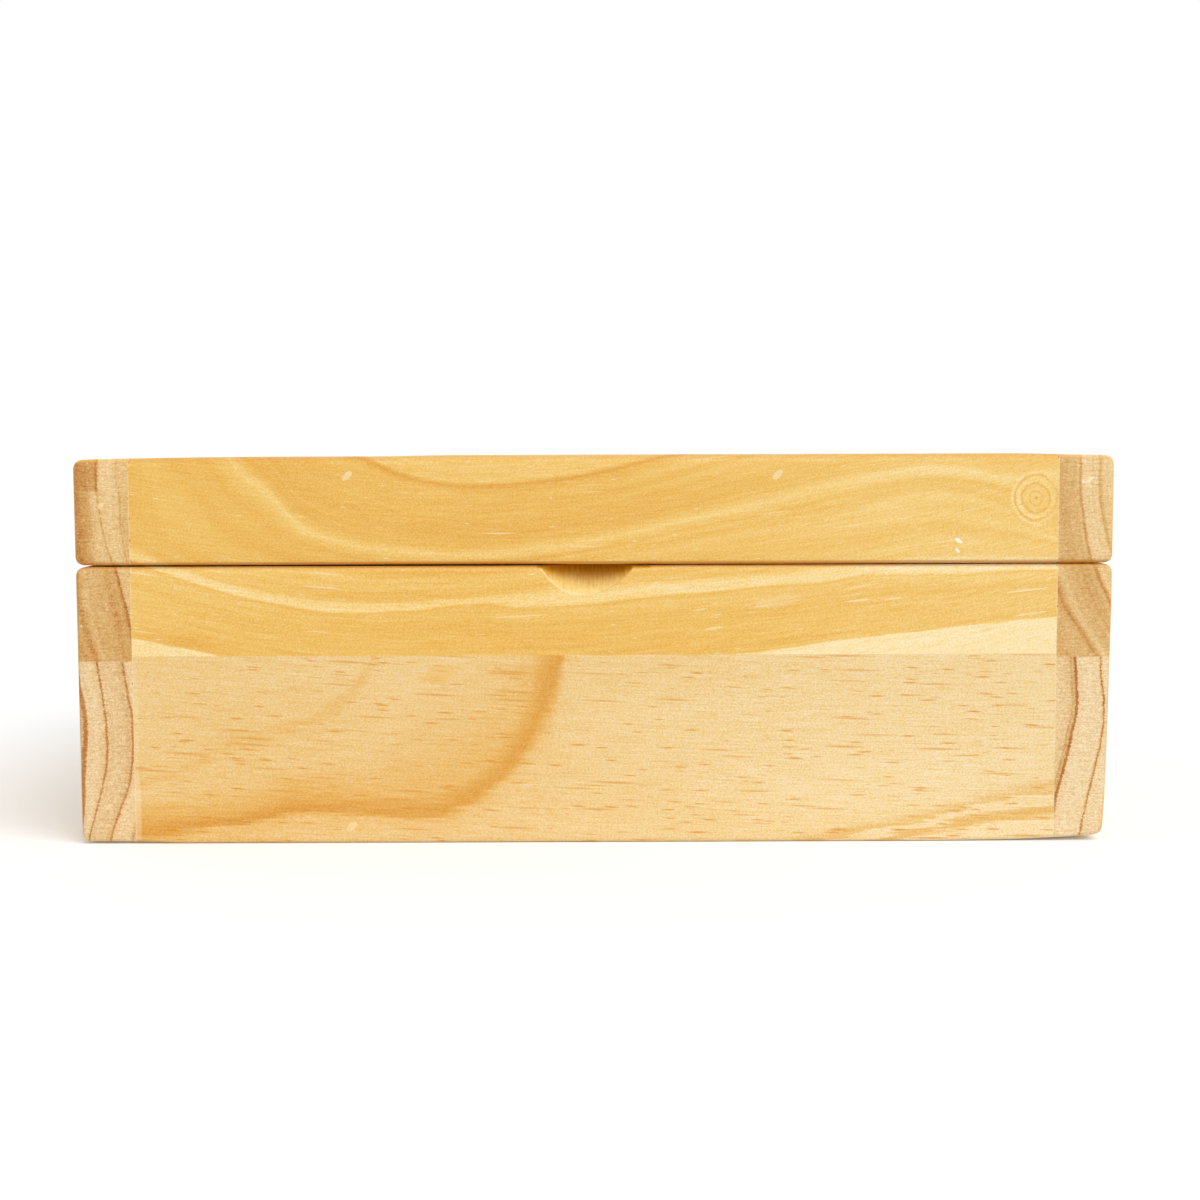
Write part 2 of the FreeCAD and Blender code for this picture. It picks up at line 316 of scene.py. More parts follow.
# %% [markdown]
# ## Growth rings from guide lines
#
# A board's figure is where its flat face cuts through the tree's rings. A ring is a surface, so
# one number says where a point is between the rings: its depth in the tree. Two or three guide
# lines per board say how the rings run, and every point between two guides takes a depth
# between theirs. Guides are Float Curve nodes, drawn with a few points each.
#
# The boards of the back, the top and the bottom get a formula instead: nested arches, the flame
# figure of a plain-sawn board.

# %% The depth of a point in the tree
RUN_SPAN = (-160.0, 160.0)
RISE_SPAN = (-180.0, 200.0)


def share_of(ends, value):
    return (value - ends[0]) / (ends[1] - ends[0])


def guide_line(run, line):
    """The height of a guide line above each place along the run, in millimetres."""
    points = [(share_of(RUN_SPAN, place), share_of(RISE_SPAN, rise)) for place, rise in line]
    curve = Wire.node("FloatCurve", {"points": points}, {"Value": share_of(RUN_SPAN, run)})
    return curve * (RISE_SPAN[1] - RISE_SPAN[0]) + RISE_SPAN[0]


def guided(run, rise, guides):
    """Depth from guide lines, each (depth, line), in the order in which the rise meets them."""
    lines = [(depth, guide_line(run, line)) for depth, line in guides]
    way = 1 if guides[-1][1][0][1] >= guides[0][1][0][1] else -1
    before = ((lines[0][1] - rise) * way).math("MAXIMUM", 0.0)
    after = ((rise - lines[-1][1]) * way).math("MAXIMUM", 0.0)
    depth = after - before + lines[0][0]
    for (low_depth, low), (high_depth, high) in zip(lines, lines[1:]):
        share = ((rise - low) / (high - low)).clamp()
        depth = depth + share * (high_depth - low_depth)
    return depth


def arched(run, rise, heart, width, taper):
    """Years of nested arches about the heart line; the arches close towards the low end."""
    across = (rise - heart) / width
    return across * across * 6.0 - (run / taper)


def wander(place, grain, amount, seed, feather=0.0):
    """How far rings stray: slow along the grain, quicker across it, feathered along fibres."""
    slow = strands(place, grain, 110.0, 14.0, seed) * 3.4
    quick = strands(place, grain, 40.0, 3.0, seed + 7.0)
    fringe = strands(place, grain, 24.0, 1.1, seed + 14.0)
    return (slow + quick) * amount + fringe * feather


print("guides run over", RUN_SPAN, "mm")

# %% [markdown]
# ## The pine itself
#
# Pale spring wood turns golden and then amber towards the end of each ring. On a face the rings
# are soft, wide bands with fine streaks along the grain and short resin dashes. On end grain the
# same rings are thin dark lines, the wood is duller, and the saw leaves fine scratches. The
# normal tells which of the two a point is, so one material covers a whole board.

# %% Colours of pine
GOLD = [
    (0.0, paint(251, 228, 174)),
    (0.25, paint(246, 210, 132)),
    (0.5, paint(238, 191, 98)),
    (0.75, paint(228, 168, 72)),
    (1.0, paint(182, 110, 44)),
]
CREAM = [
    (0.0, paint(246, 223, 174)),
    (0.25, paint(239, 207, 146)),
    (0.5, paint(232, 185, 103)),
    (0.75, paint(222, 161, 70)),
    (1.0, paint(166, 95, 40)),
]
GOLD_END = [
    (0.0, paint(242, 215, 165)),
    (0.2, paint(233, 197, 137)),
    (0.5, paint(213, 166, 99)),
    (0.7, paint(194, 131, 64)),
    (1.0, paint(152, 76, 28)),
]
CREAM_END = [
    (0.0, paint(243, 219, 176)),
    (0.2, paint(235, 202, 150)),
    (0.5, paint(213, 168, 108)),
    (0.7, paint(194, 131, 68)),
    (1.0, paint(152, 76, 30)),
]
GLUE_BROWN = paint(118, 72, 36)
GLUE_PALE = paint(252, 232, 184)
# Arris darkening: partly burnished wood, partly painted shade on the rounds.
BURNISH_AND_SHADE = paint(205, 138, 66)
RESIN = paint(222, 150, 34)
PITH = paint(150, 92, 46)
SMUDGE = paint(236, 190, 98)
# Painted shade for the split between lid and body.
SPLIT_SHADE = paint(212, 126, 22)
# Painted shade for the gap between lid and body.
GAP_SHADE = paint(128, 52, 12)
# Paler sanded wood for the notch, partly painted light that lifts the recess's shade.
SANDED_PALE_AND_PAINTED_LIGHT = paint(255, 232, 156)
# Pale fresh wood for flecks and marks, also used for the painted highlight on the notch's lip.
FRESH_WOOD_AND_HIGHLIGHT = paint(255, 240, 205)
TORN_WOOD = paint(255, 251, 238)


def ramp(stops, value):
    return Wire.node("ValToRGB", {"stops": stops}, {"Fac": value})


def ring_shade(depth, rings):
    """The shade at a depth, from stops of (depth, shade); 0 is palest and 1 darkest."""
    ends = (rings[0][0], rings[-1][0])
    stops = [(share_of(ends, place), shade) for place, shade in rings]
    return ramp(stops, share_of(ends, depth))


print("four palettes of", len(GOLD), "colours")

# %% [markdown]
# ## Wood along the grain and across it
#
# Along the grain the surface is a fine sandy speckle over faint fibres, with resin canals and
# torn fibres as spindles. Across the grain the same rings are broken, granular lines, because
# there every fibre is cut through, and the saw leaves scratches.

# %% Face wood
def face_wood(place, grain, shade, palette, canals, flecks, seed):
    """Colour and relief of a face; canals and flecks are each (share, strength, colour)."""
    fibre = strands(place, grain, 13.0, 0.5, seed + 5.0, 3.0)
    hair = strands(place, grain, 2.4, 0.5, seed + 9.0)
    sand = strands(place, grain, 0.5, 0.4, seed + 13.0, 1.0)
    grainy = fibre * 0.42 + hair * 0.15 + sand * 0.75
    colour = ramp(palette, shade + grainy * 0.3)
    colour = toasted(colour, grainy, 0.25, 0.6, 2.1)
    clusters = fade(strands(place, grain, 60.0, 16.0, seed + 19.0), -0.35, -0.05)
    share, strength, tint = canals
    drift = strands(place, grain, 4000.0, 6.0, seed + 31.0, 1.0) * 60.0
    scattered = [place[axis] + drift if axis == grain else place[axis] for axis in range(3)]
    long, short = (24.0, 1.2, share, 0.44), (9.0, 1.0, share, 0.42)
    canal = long_and_short(scattered, grain, long, short, seed + 21.0) * clusters * strength
    colour = blend(canal, colour, tint)
    share, strength, tint = flecks
    long, short = (26.0, 1.1, share * 0.8, 0.32), (6.0, 0.9, share, 0.24)
    fleck = long_and_short(place, grain, long, short, seed + 27.0) * strength
    colour = blend(fleck, colour, tint)
    return colour, fibre * 0.5 + sand * 0.5 - canal * 0.6


# %% End wood
def end_wood(place, shade, palette, seed):
    """Colour and relief where the fibres are cut through."""
    pores = cloud(place, [0.5] * 3, seed + 15.0)
    crumbs = cloud(place, [1.3, 1.3, 0.9], seed + 16.0)
    scratch = cloud(place, [5.0, 5.0, 0.4], seed + 17.0)
    cut = fade(scratch, 0.1, 0.3)
    grainy = pores * 0.75 + crumbs * 0.35 + scratch * 0.4 + cut * 0.1
    colour = ramp(palette, shade + grainy * 0.5)
    colour = toasted(colour, grainy, 0.5, 0.8, 1.3)
    dust = spindles(place, [1.5, 1.5, 1.2], 0.45, 0.34, seed + 33.0)
    colour = blend(dust * 0.5, colour, FRESH_WOOD_AND_HIGHLIGHT)
    pits = spindles(place, [4.0] * 3, 0.4, 0.12, seed + 35.0)
    colour = blend(pits * 0.6, colour, PITH)
    return colour, pores - cut * 0.7 - pits


print("end grain runs through", len(GOLD_END), "colours")

# %% [markdown]
# ## Blemishes, knots and joints
#
# A blemish is an oval with a ragged edge on a wall's front. A knot is a small branch cut across:
# rings of its own, a dark pith and a bright ring where the trunk's wood closed round it. A joint
# is a pale hairline of dried glue, with a few dark gaps where the boards don't quite meet.

# %% Marks on a board
FIGURE_RIM = 80.5
figure_lift = body_rim - FIGURE_RIM


def mark(place, centre, radii, lean, ragged, seed):
    """A mask for one blemish on a wall's front: an oval with a ragged edge."""
    x, z = place[0] - centre[0], place[2] - centre[1]
    cos, sin = math.cos(math.radians(lean)), math.sin(math.radians(lean))
    along = (x * cos + z * sin) / radii[0]
    across = (z * cos - x * sin) / radii[1]
    noise = cloud(place, [radii[1] * 0.8] * 3, seed, 3.0) * ragged
    distance = (along * along + across * across).math("SQRT") + noise
    return fade(distance, 1.15, 0.85)


KNOT_RINGS = [
    (0.0, 0.95), (0.4, 0.8), (0.8, 0.3), (1.6, 0.32), (2.0, 0.54), (2.3, 0.3), (3.4, 0.34),
    (3.9, 0.58), (4.3, 0.28), (5.0, 0.14), (5.6, 0.24), (6.0, 0.64), (6.4, 0.3), (7.0, 0.1),
    (8.0, 0.3),
]


def knotted(place, shade, centre, seed):
    """The shade with a knot laid over it; the knot's outer ring is open to one side."""
    x, z = place[0] - centre[0], place[2] - centre[1]
    uneven = cloud(place, [5.0] * 3, seed) * 1.6
    distance = (x * x + z * z * 0.86).math("SQRT") + uneven
    closed = fade(x, 6.5, -1.0) * 0.75 + 0.25
    heart = fade(distance, 5.4, 4.6) * 0.85
    mask = (fade(distance, 7.8, 6.6) * closed).math("MAXIMUM", heart)
    return shade + (ring_shade(distance, KNOT_RINGS) - shade) * mask


def glued(place, facets, colour, joint, seed):
    """The colour with a joint's line across it."""
    axis, where, strength = joint
    offset = place[axis] - where
    shown = fade(facets[axis], 0.6, 0.3) * strength
    uneven = cloud(place, [2.0] * 3, seed + 31.0)
    hairline = fade((offset + uneven * 0.3).size(), 0.3, 0.1) * 0.3
    gaps = fade(offset.size(), 0.4, 0.14) * fade(uneven, 0.1, 0.2) * 0.85
    colour = blend(hairline * shown, colour, GLUE_PALE)
    return blend(gaps * shown, colour, GLUE_BROWN)


print("figures are drawn for a rim at", FIGURE_RIM, "and lifted by", round(figure_lift, 2))

# %% [markdown]
# ## One board's material
#
# One material covers a whole board. The figure says how deep in the tree a point is, the rings
# turn depth into shade, and the normal chooses face wood or end wood. Last come the sanded
# notch, with painted light and painted shade in its scoop and a painted highlight on its lip;
# arrises darkened partly by burnishing and partly by painted shade; glue joints; and painted
# shade at the split, where lid and body meet.

# %% What the maker did to the wood, and painted light and shade
NOTCH_REACH = 16.0
NOTCH_FLOOR = 9.5
NOTCH_BACK = 14.0
LIP_MIDDLE = -2.0
LIP_REACH = 13.8
RIM_LEVEL = 0.99


def above_floor(z):
    return fade(z, body_rim - NOTCH_FLOOR - 0.5, body_rim - NOTCH_FLOOR)


def scooped(x, y, z):
    """A mask of the finger notch's own surface, within the front wall."""
    inside = fade(y, front + 0.15, front + 0.5) * y.math("LESS_THAN", front + NOTCH_BACK)
    inside = inside * z.math("LESS_THAN", body_rim + 0.1)
    sides = fade(x.size(), NOTCH_REACH + 1.0, NOTCH_REACH)
    return inside * sides * above_floor(z)


def sanded_notch(x, y, z, facets, arris, colour, seed):
    """The colour with the notch on it, and masks of its scoop and its eased lip.

    The scoop gets sanding streaks, painted light over it and painted shade under the lid; the
    eased lip gets a painted highlight.
    """
    scoop = scooped(x, y, z) * facets[2].math("LESS_THAN", RIM_LEVEL)
    brushed = cloud([x, y, z - figure_lift], [0.6, 5.0, 5.0], seed + 39.0)
    # Painted shade: a mask that darkens the top of the scoop, under the lid, where its shadow falls.
    painted_shade_under_lid = fade(z, body_rim - 5.4, body_rim - 0.1) * scoop
    # Paler sanded wood over the scoop, partly painted light that lifts the shade inside the recess.
    colour = blend(scoop * 0.35, colour, SANDED_PALE_AND_PAINTED_LIGHT)
    # Sanding streaks, and painted shade at the top of the scoop under the lid.
    colour = toasted(colour, brushed * scoop * 0.8 + painted_shade_under_lid * 0.95, 0.4, 0.65, 1.2)
    # Painted highlight along the notch's eased lip, brighter on its left, where the light falls.
    lip_highlight = fade((x - LIP_MIDDLE).size(), LIP_REACH + 0.6, LIP_REACH) * above_floor(z)
    lip_highlight = lip_highlight * fade(z, body_rim - 0.9, body_rim - 1.4) * fade(y, front + 0.6, front + 0.4)
    lip_highlight = lip_highlight * arris * (fade(x, 4.0, -8.0) * 0.35 + 0.1)
    return blend(lip_highlight, colour, FRESH_WOOD_AND_HIGHLIGHT), scoop, lip_highlight


def burnish_and_paint_shade(z, arris, colour):
    """The colour with its arrises darkened, partly burnishing and partly painted shade, and
    with painted shade in the split, where the saw parted lid and body.
    """
    # Arrises darkened: partly burnishing, partly painted shade on the rounds; less towards the
    # bottom.
    worn_and_shaded = fade(z, 0.5, 4.0) * 0.2 + 0.04
    colour = blend(arris * worn_and_shaded, colour, BURNISH_AND_SHADE)
    # Painted shade on the arrises at the split between lid and body.
    painted_split_shade = arris * fade((z - body_rim - 0.7).size(), 0.7, 0.4)
    return blend(painted_split_shade * 0.5, colour, SPLIT_SHADE)


def paint_gap_shade(y, z, facets, colour):
    """The colour with painted shade along the front of both sawn rims, in the gap between lid and
    body.
    """
    rims = fade(facets[2], 0.6, 0.9) * fade((z - body_rim - 0.2).size(), 0.9, 0.6)
    return blend(rims * fade(y, front + 1.4, front + 0.5) * 0.45, colour, GAP_SHADE)


print("the notch is looked for within", NOTCH_REACH, "mm of the middle")

# %% Pine
NO_CANALS = (0.3, 0.25, paint(222, 166, 84))
SOME_CANALS = (0.5, 0.6, RESIN)
FEW_FLECKS = (0.25, 0.4, FRESH_WOOD_AND_HIGHLIGHT)
FACE_ROUGHNESS = 0.52
END_EXTRA = 0.2
BURNISHED_LESS = 0.08
PINE_RELIEF = 0.05
PINE_SHINE = 0.3


def pine(name, grain, figure, rings, palette, seed, joints=(), marks=(), knots=(),
         canals=NO_CANALS, flecks=FEW_FLECKS, year=None, sweep=(0.0, 0.0), tone_and_light=None,
         layered=0.3, notched=False):
    """Solid pine; figure(x, y, z) gives the depth in the tree.

    year is the width of a ring in millimetres, for a figure whose rings repeat. sweep is the
    fibres' slope in the middle of the board and its change along it. tone_and_light gives extra
    shade by place: the board's own tone, and on the front boards painted light, paler to the right.
    """
    material = start_material(name)
    x, y, z = position()
    place = [x, y, z - figure_lift]
    facets = [part.size() for part in coordinates("Normal")]
    end = fade(facets[grain], 0.55, 0.9)
    flat = facets[0].math("MAXIMUM", facets[1]).math("MAXIMUM", facets[2])
    arris = fade(flat, 0.985, 0.86)

    crumbly = cloud(place, [0.5] * 3, seed + 25.0) * end
    depth = figure(*place) + crumbly * (1.3 / (year or 1.0))
    in_ring = depth.math("FRACT") if year else depth
    broad = strands(place, grain, 90.0, 26.0, seed + 2.0, 1.0) * 0.2
    layers = cloud([place[grain], depth * (year or 1.0), x], [80.0, 1.3, 60.0], seed + 41.0, 3.0)
    shade = ring_shade(in_ring, rings) + broad + layers * layered
    # Extra shade by place: the board's own tone, on the front boards also painted light.
    if tone_and_light:
        shade = shade + tone_and_light(*place)
    for centre in knots:
        shade = knotted(place, shade, centre, seed + 37.0)

    rise = place[grain] * (sweep[0] + place[grain] * (sweep[1] / 2))
    fibres = [place[0], place[1], place[2] - rise]
    face_colour, face_relief = face_wood(fibres, grain, shade, palette, canals, flecks, seed)
    end_palette = CREAM_END if palette is CREAM else GOLD_END
    end_colour, end_relief = end_wood(place, shade, end_palette, seed)
    if notched:
        face_colour, scoop, lip_highlight = sanded_notch(x, y, z, facets, arris, face_colour, seed)
        arris = arris * (1.0 - scoop) * (1.0 - lip_highlight)
        end = end * (1.0 - scoop)
    # Arrises darkened, partly burnishing and partly painted shade, and painted shade at the split.
    colour = burnish_and_paint_shade(z, arris, blend(end, face_colour, end_colour))
    for joint in joints:
        colour = glued([x, y, z], facets, colour, joint, seed)
    # Painted shade along the front of both sawn rims, in the gap between lid and body.
    colour = paint_gap_shade(y, z, facets, colour)
    front_face = fade(facets[1], 0.8, 0.95) * y.math("LESS_THAN", 0.0)
    for centre, radii, lean, ragged, strength, tint in marks:
        spot = mark(place, centre, radii, lean, ragged, seed + centre[0])
        colour = blend(spot * front_face * strength, colour, tint)

    roughness = FACE_ROUGHNESS + end * END_EXTRA + face_relief * 0.15 - arris * BURNISHED_LESS
    relief = face_relief * (1.0 - end) + end_relief * end
    return finish_material(
        material, colour, roughness, relief, PINE_RELIEF, Specular_IOR_Level=PINE_SHINE,
    )


print("canals in", SOME_CANALS[0], "and flecks in", FEW_FLECKS[0], "of the cells")

# %% [markdown]
# ## The front's upper board
#
# One wide board gives the lid's front and the upper part of the body's front, so both share one
# material and the arcs run on across the split. The heart of the tree was above the lid: the
# rings sag in long arcs, with one pale band low in the body and a pale wedge below it, where the
# board was cut from the young outer wood.

# %% Upper front board
UPPER_FRONT_GUIDES = [
    (0.0, [(-160, 195), (-100, 145), (-84, 122), (-65.2, 111.2), (-54.5, 106.3), (-34.7, 103.3),
           (-14.8, 104.6), (1.9, 107.1), (21.7, 112.0), (60, 122), (160, 140)]),
    (20.0, [(-160, 160), (-108, 120), (-103.9, 110.4), (-92.3, 100), (-85, 92.3), (-76, 88.2),
            (-58, 84.9), (-34.8, 83.8), (-14.8, 85.8), (1.9, 88.1), (42.8, 96.8), (84.5, 106.6),
            (98, 107.9), (110, 106.9), (119, 104.8), (130, 105.5), (160, 107)]),
    (22.4, [(-160, 155), (-114, 118), (-109.6, 105.8), (-96.9, 94.8), (-83.7, 86.7), (-76, 84.4),
            (-60, 81.4), (-35, 80.9), (2, 85.4), (22, 89.5), (43, 93.6), (85, 103.1), (98, 104.8),
            (110, 103.7), (122, 100.8), (134, 99.3), (160, 99)]),
    (25.4, [(-160, 150), (-128, 110), (-122.3, 97.1), (-116.6, 91.9), (-108.5, 85), (-98, 80.5),
            (-76, 77.8), (-60, 76.6), (-35, 77.2), (2, 82), (22, 86), (43, 89.7), (85, 98.8),
            (98, 101), (110, 99.3), (122, 95.5), (134, 90.5), (160, 88)]),
    (32.6, [(-160, 98), (-135, 86.3), (-107.8, 75.9), (-92, 72.7), (-79.3, 70.6), (-68.5, 69.5),
            (-54.1, 69.9), (-12.3, 73.5), (14.4, 75.4), (28.9, 76.4), (66.4, 79.1), (90, 81.8),
            (110, 82.5), (160, 82)]),
    (34.6, [(-160, 94.5), (-135, 83.3), (-107.8, 73.6), (-92, 69.9), (-72.1, 66.9), (-50.5, 68.0),
            (-31.7, 69.6), (-21.6, 68.6), (0, 69.5), (18, 71.5), (48.3, 74.3), (69.2, 75.9),
            (77.9, 77.4), (109.6, 77.9), (130.4, 79.0), (160, 79)]),
    (54.0, [(-160, 63), (-133.8, 59.4), (-114.7, 55.6), (-96.8, 51.6), (-56.2, 47.8), (-9.7, 48.3),
            (34.4, 53.2), (50, 54.8), (64.1, 57.0), (95.6, 61.0), (133.0, 64.7), (160, 66)]),
]
UPPER_FRONT_RINGS = [
    (-20, 0.36), (-1.4, 0.36), (-0.2, 0.74), (0.8, 0.55), (4, 0.46), (5.5, 0.54), (9, 0.49),
    (13, 0.56), (17, 0.54), (18.8, 0.42), (19.9, 0.27), (20.8, 0.36), (22.3, 0.56), (23.2, 0.44),
    (24.2, 0.54), (25.4, 0.4), (26.6, 0.46), (27.6, 0.42), (29, 0.5), (32.2, 0.48), (32.6, 0.27),
    (33.2, 0.2), (34.3, 0.16), (34.6, 0.36), (34.9, 0.56), (35.6, 0.46), (37, 0.44), (40, 0.53),
    (46, 0.5), (53.4, 0.54), (53.9, 0.06), (60, 0.04),
]
FRONT_LEAN = 0.35
UPPER_SWEEP = (0.047, 0.0015)


def front_figure(guides, stray, seed, feather):
    """Rings that lean as they run back into a front board."""
    def figure(x, y, z):
        rise = z + (y - front) * FRONT_LEAN + wander((x, y, z), 0, stray, seed, feather)
        return guided(x, rise, guides)

    return figure


def upper_front_tone_and_light(x, y, z):
    in_lid = fade(z, 80.0, 83.0)
    in_wedge = fade(z, 63.0, 58.0) * fade(x, -106.0, -116.0)
    towards_left = fade(x, -50.0, -110.0) * (in_lid * 0.1 - 0.05) + in_wedge * 0.08
    # Paler towards the right: partly the board's own tone, partly painted light from the right.
    return 0.02 - fade(x, 0.0, 115.0) * 0.15 + towards_left


front_joints = [(0, joint_left, 1.0), (0, joint_right, 1.0)]
front_upper_pine = pine(
    "front_upper_pine", 0, front_figure(UPPER_FRONT_GUIDES, 0.4, 3.0, 0.8),
    UPPER_FRONT_RINGS, GOLD, 3.0, front_joints,
    knots=[(127.4, 99.6)], flecks=(0.5, 0.75, FRESH_WOOD_AND_HIGHLIGHT), sweep=UPPER_SWEEP,
    tone_and_light=upper_front_tone_and_light, notched=True,
    marks=[
        ((105.3, 87.3), (1.1, 0.5), -34, 1.2, 0.9, TORN_WOOD),
        ((105.0, 84.5), (0.75, 0.4), -46, 1.2, 0.85, TORN_WOOD),
        ((53.1, 69.9), (7.0, 1.7), 12, 1.8, 0.16, FRESH_WOOD_AND_HIGHLIGHT),
        ((1.7, 81.0), (0.8, 0.35), 5, 1.0, 0.6, FRESH_WOOD_AND_HIGHLIGHT),
        ((125.4, 72.9), (6.2, 0.24), 7, 0.3, 0.6, FRESH_WOOD_AND_HIGHLIGHT),
        ((126.4, 66.1), (5.0, 0.26), 8, 0.3, 0.5, FRESH_WOOD_AND_HIGHLIGHT),
        ((-22.0, 65.8), (7.5, 0.26), 3, 0.3, 0.4, FRESH_WOOD_AND_HIGHLIGHT),
        ((76.5, 70.1), (3.4, 0.3), 6, 0.3, 0.5, FRESH_WOOD_AND_HIGHLIGHT),
        ((86.8, 70.6), (2.7, 0.3), 8, 0.3, 0.4, FRESH_WOOD_AND_HIGHLIGHT),
        ((34.8, 62.2), (2.4, 0.4), 8, 0.4, 0.35, FRESH_WOOD_AND_HIGHLIGHT),
        ((30.6, 67.6), (2.4, 0.3), 9, 0.3, 0.35, FRESH_WOOD_AND_HIGHLIGHT),
    ],
)

# %% [markdown]
# ## The front's lower board
#
# The lower board comes from another tree, creamier and full of short resin dashes. One big
# flame, its left half, crosses it: an amber arch with a crisp outer edge and a soft inner one.

# %% Lower front board
LOWER_FRONT_GUIDES = [
    (0.0, [(-160, 24), (-133.0, 18.0), (-120.4, 21.0), (-107.3, 28.1), (-91.1, 33.2), (-76.0, 39.7),
           (-67.9, 47.8), (-60, 66), (-40, 110), (160, 190)]),
    (14.0, [(-160, 9.0), (-133.2, 9.8), (-110.6, 8.8), (-99.5, 10.8), (-85.4, 15.4), (-65.2, 13.4),
            (-45.1, 15.4), (-28.1, 27.6), (-19.0, 43.8), (-15, 62), (10, 110), (160, 180)]),
    (24.0, [(-160, -3), (-133.4, -0.4), (-107.7, 3.7), (-75.4, 7.3), (-51.3, 5.7), (-36, 10),
            (-23.0, 20.5), (-12.9, 35.8), (-9.0, 50), (-6, 66), (30, 110), (160, 170)]),
    (44.0, [(-160, -60), (0, -25), (40, -8), (69.9, 0.6), (96.5, 5.4), (117.5, 11.4),
            (133.4, 14.6), (160, 18)]),
    (50.0, [(-160, -75), (0, -38), (60, -8), (92.3, 2.2), (133.6, 8.6), (160, 11)]),
]
LOWER_FRONT_RINGS = [
    (-30, 0.27), (-6, 0.28), (-1.5, 0.32), (0, 0.42), (2.5, 0.3), (8, 0.3), (11, 0.36),
    (14, 0.47), (17, 0.58), (19.5, 0.68), (21.8, 0.71), (23, 0.55), (24.4, 0.36), (26.5, 0.29),
    (36, 0.22), (43, 0.18), (43.5, 0.22), (44.0, 0.56), (44.5, 0.16), (48.2, 0.14), (49.2, 0.46),
    (50.6, 0.54), (51.6, 0.3), (52.4, 0.1), (60, 0.1),
]
LOWER_SWEEP = (-0.045, 0.0002)


def lower_front_tone_and_light(x, y, z):
    # Paler towards the right: partly the board's own tone, partly painted light from the right.
    return 0.03 - fade(x, -20.0, 100.0) * 0.09


front_lower_pine = pine(
    "front_lower_pine", 0, front_figure(LOWER_FRONT_GUIDES, 0.6, 8.0, 6.0),
    LOWER_FRONT_RINGS, CREAM, 8.0, front_joints,
    canals=(0.95, 1.0, RESIN), sweep=LOWER_SWEEP, tone_and_light=lower_front_tone_and_light, layered=0.08,
    marks=[
        ((-133.3, 10.0), (0.9, 11.0), 0, 0.6, 0.25, FRESH_WOOD_AND_HIGHLIGHT),
        ((-133.3, 38.0), (0.8, 15.0), 0, 0.6, 0.15, FRESH_WOOD_AND_HIGHLIGHT),
        ((-44.7, 49.0), (5.0, 2.6), 20, 2.2, 0.5, SMUDGE),
    ],
)

# %% [markdown]
# ## The side boards
#
# The side walls run front to back, so their end grain shows at both front corners. Each lid and
# body side is glued up from two boards. On the end grain a ring is a thin line down the board.
# The line drifts sideways with the depth of the box, so on the wall's outer face the same rings
# open into long pointed arches.

# %% Left side boards
STRAIGHT_DEPTH = 90.0


def side_figure(guides, drift, seed):
    """Rings across the wall's thickness, straight at the front and wandering further back."""
    def figure(x, y, z):
        away = fade(y, front, front + STRAIGHT_DEPTH)
        shift = (y - front) * drift + wander((x, y, z), 1, 1.0, seed) * away
        return guided(z, x + shift + cloud((x, y, z), [9.0, 9.0, 5.0], seed + 3.0) * 0.5, guides)

    return figure


LEFT_LID_TOP_GUIDES = [(0.0, [(0, -143.2), (112, -143.2)])]
LEFT_LID_TOP_RINGS = [
    (-8, 0.6), (-4, 0.62), (-1, 0.56), (-0.35, 0.6), (-0.1, 0.74), (0.2, 0.68), (0.6, 0.22),
    (3, 0.16), (5.4, 0.22), (5.8, 0.46), (6.2, 0.22), (9, 0.34), (14, 0.2),
]
LEFT_LID_GUIDES = [
    (0.0, [(-160, -143), (80, -143.5), (86.4, -145.3), (90.7, -144.6), (96.5, -145.1),
           (102, -145.5)]),
    (3.0, [(-160, -100), (79, -138.0), (84.7, -139.9), (87.9, -140.9), (92.2, -141.7),
           (102, -143.1)]),
    (9.0, [(-160, -98), (82, -135.0), (93.6, -136.5), (99.4, -136.4), (111, -137.3)]),
]
LEFT_LID_RINGS = [
    (-6, 0.62), (-0.9, 0.56), (0.5, 0.3), (2.6, 0.2), (2.85, 0.48), (3.1, 0.44), (3.3, 0.2),
    (6, 0.14), (8.5, 0.26), (9, 0.46), (9.3, 0.28), (12, 0.32), (18, 0.5), (18.5, 0.1), (24, 0.4),
]
LEFT_BODY_GUIDES = [
    (0.0, [(-160, -100), (53, -144), (55.9, -145.1), (63.2, -147.4), (71.6, -149), (80, -149.5)]),
    (10.0, [(-160, -90), (55, -133), (63.9, -134.3), (71.6, -136.0), (79.9, -138.1), (100, -144)]),
]
LEFT_BODY_RINGS = [
    (-5, 0.5), (-1.4, 0.52), (-0.2, 0.62), (0.5, 0.56), (1.6, 0.36), (3, 0.4), (7, 0.5),
    (9.4, 0.5), (9.8, 0.74), (10.1, 0.7), (10.4, 0.3), (13, 0.28), (19, 0.55), (19.6, 0.2),
]
LEFT_LOWER_GUIDES = [
    (0.0, [(-160, -178), (0, -150.4), (10, -149.3), (22.2, -148.9), (29.6, -148.2), (33.7, -148.1),
           (43.5, -149.3), (53, -151.2)]),
    (7.0, [(-160, -176), (0, -148), (10.7, -145.1), (17.8, -143.1), (26.9, -141.8), (35.5, -142.0),
           (45.4, -143.2), (52.7, -144.2)]),
    (14.0, [(-160, -170), (0.3, -141.5), (9.2, -138.6), (15.6, -136.1), (24.6, -134.5),
            (34.0, -134.3), (45.4, -135.8), (52.3, -136.8)]),
]
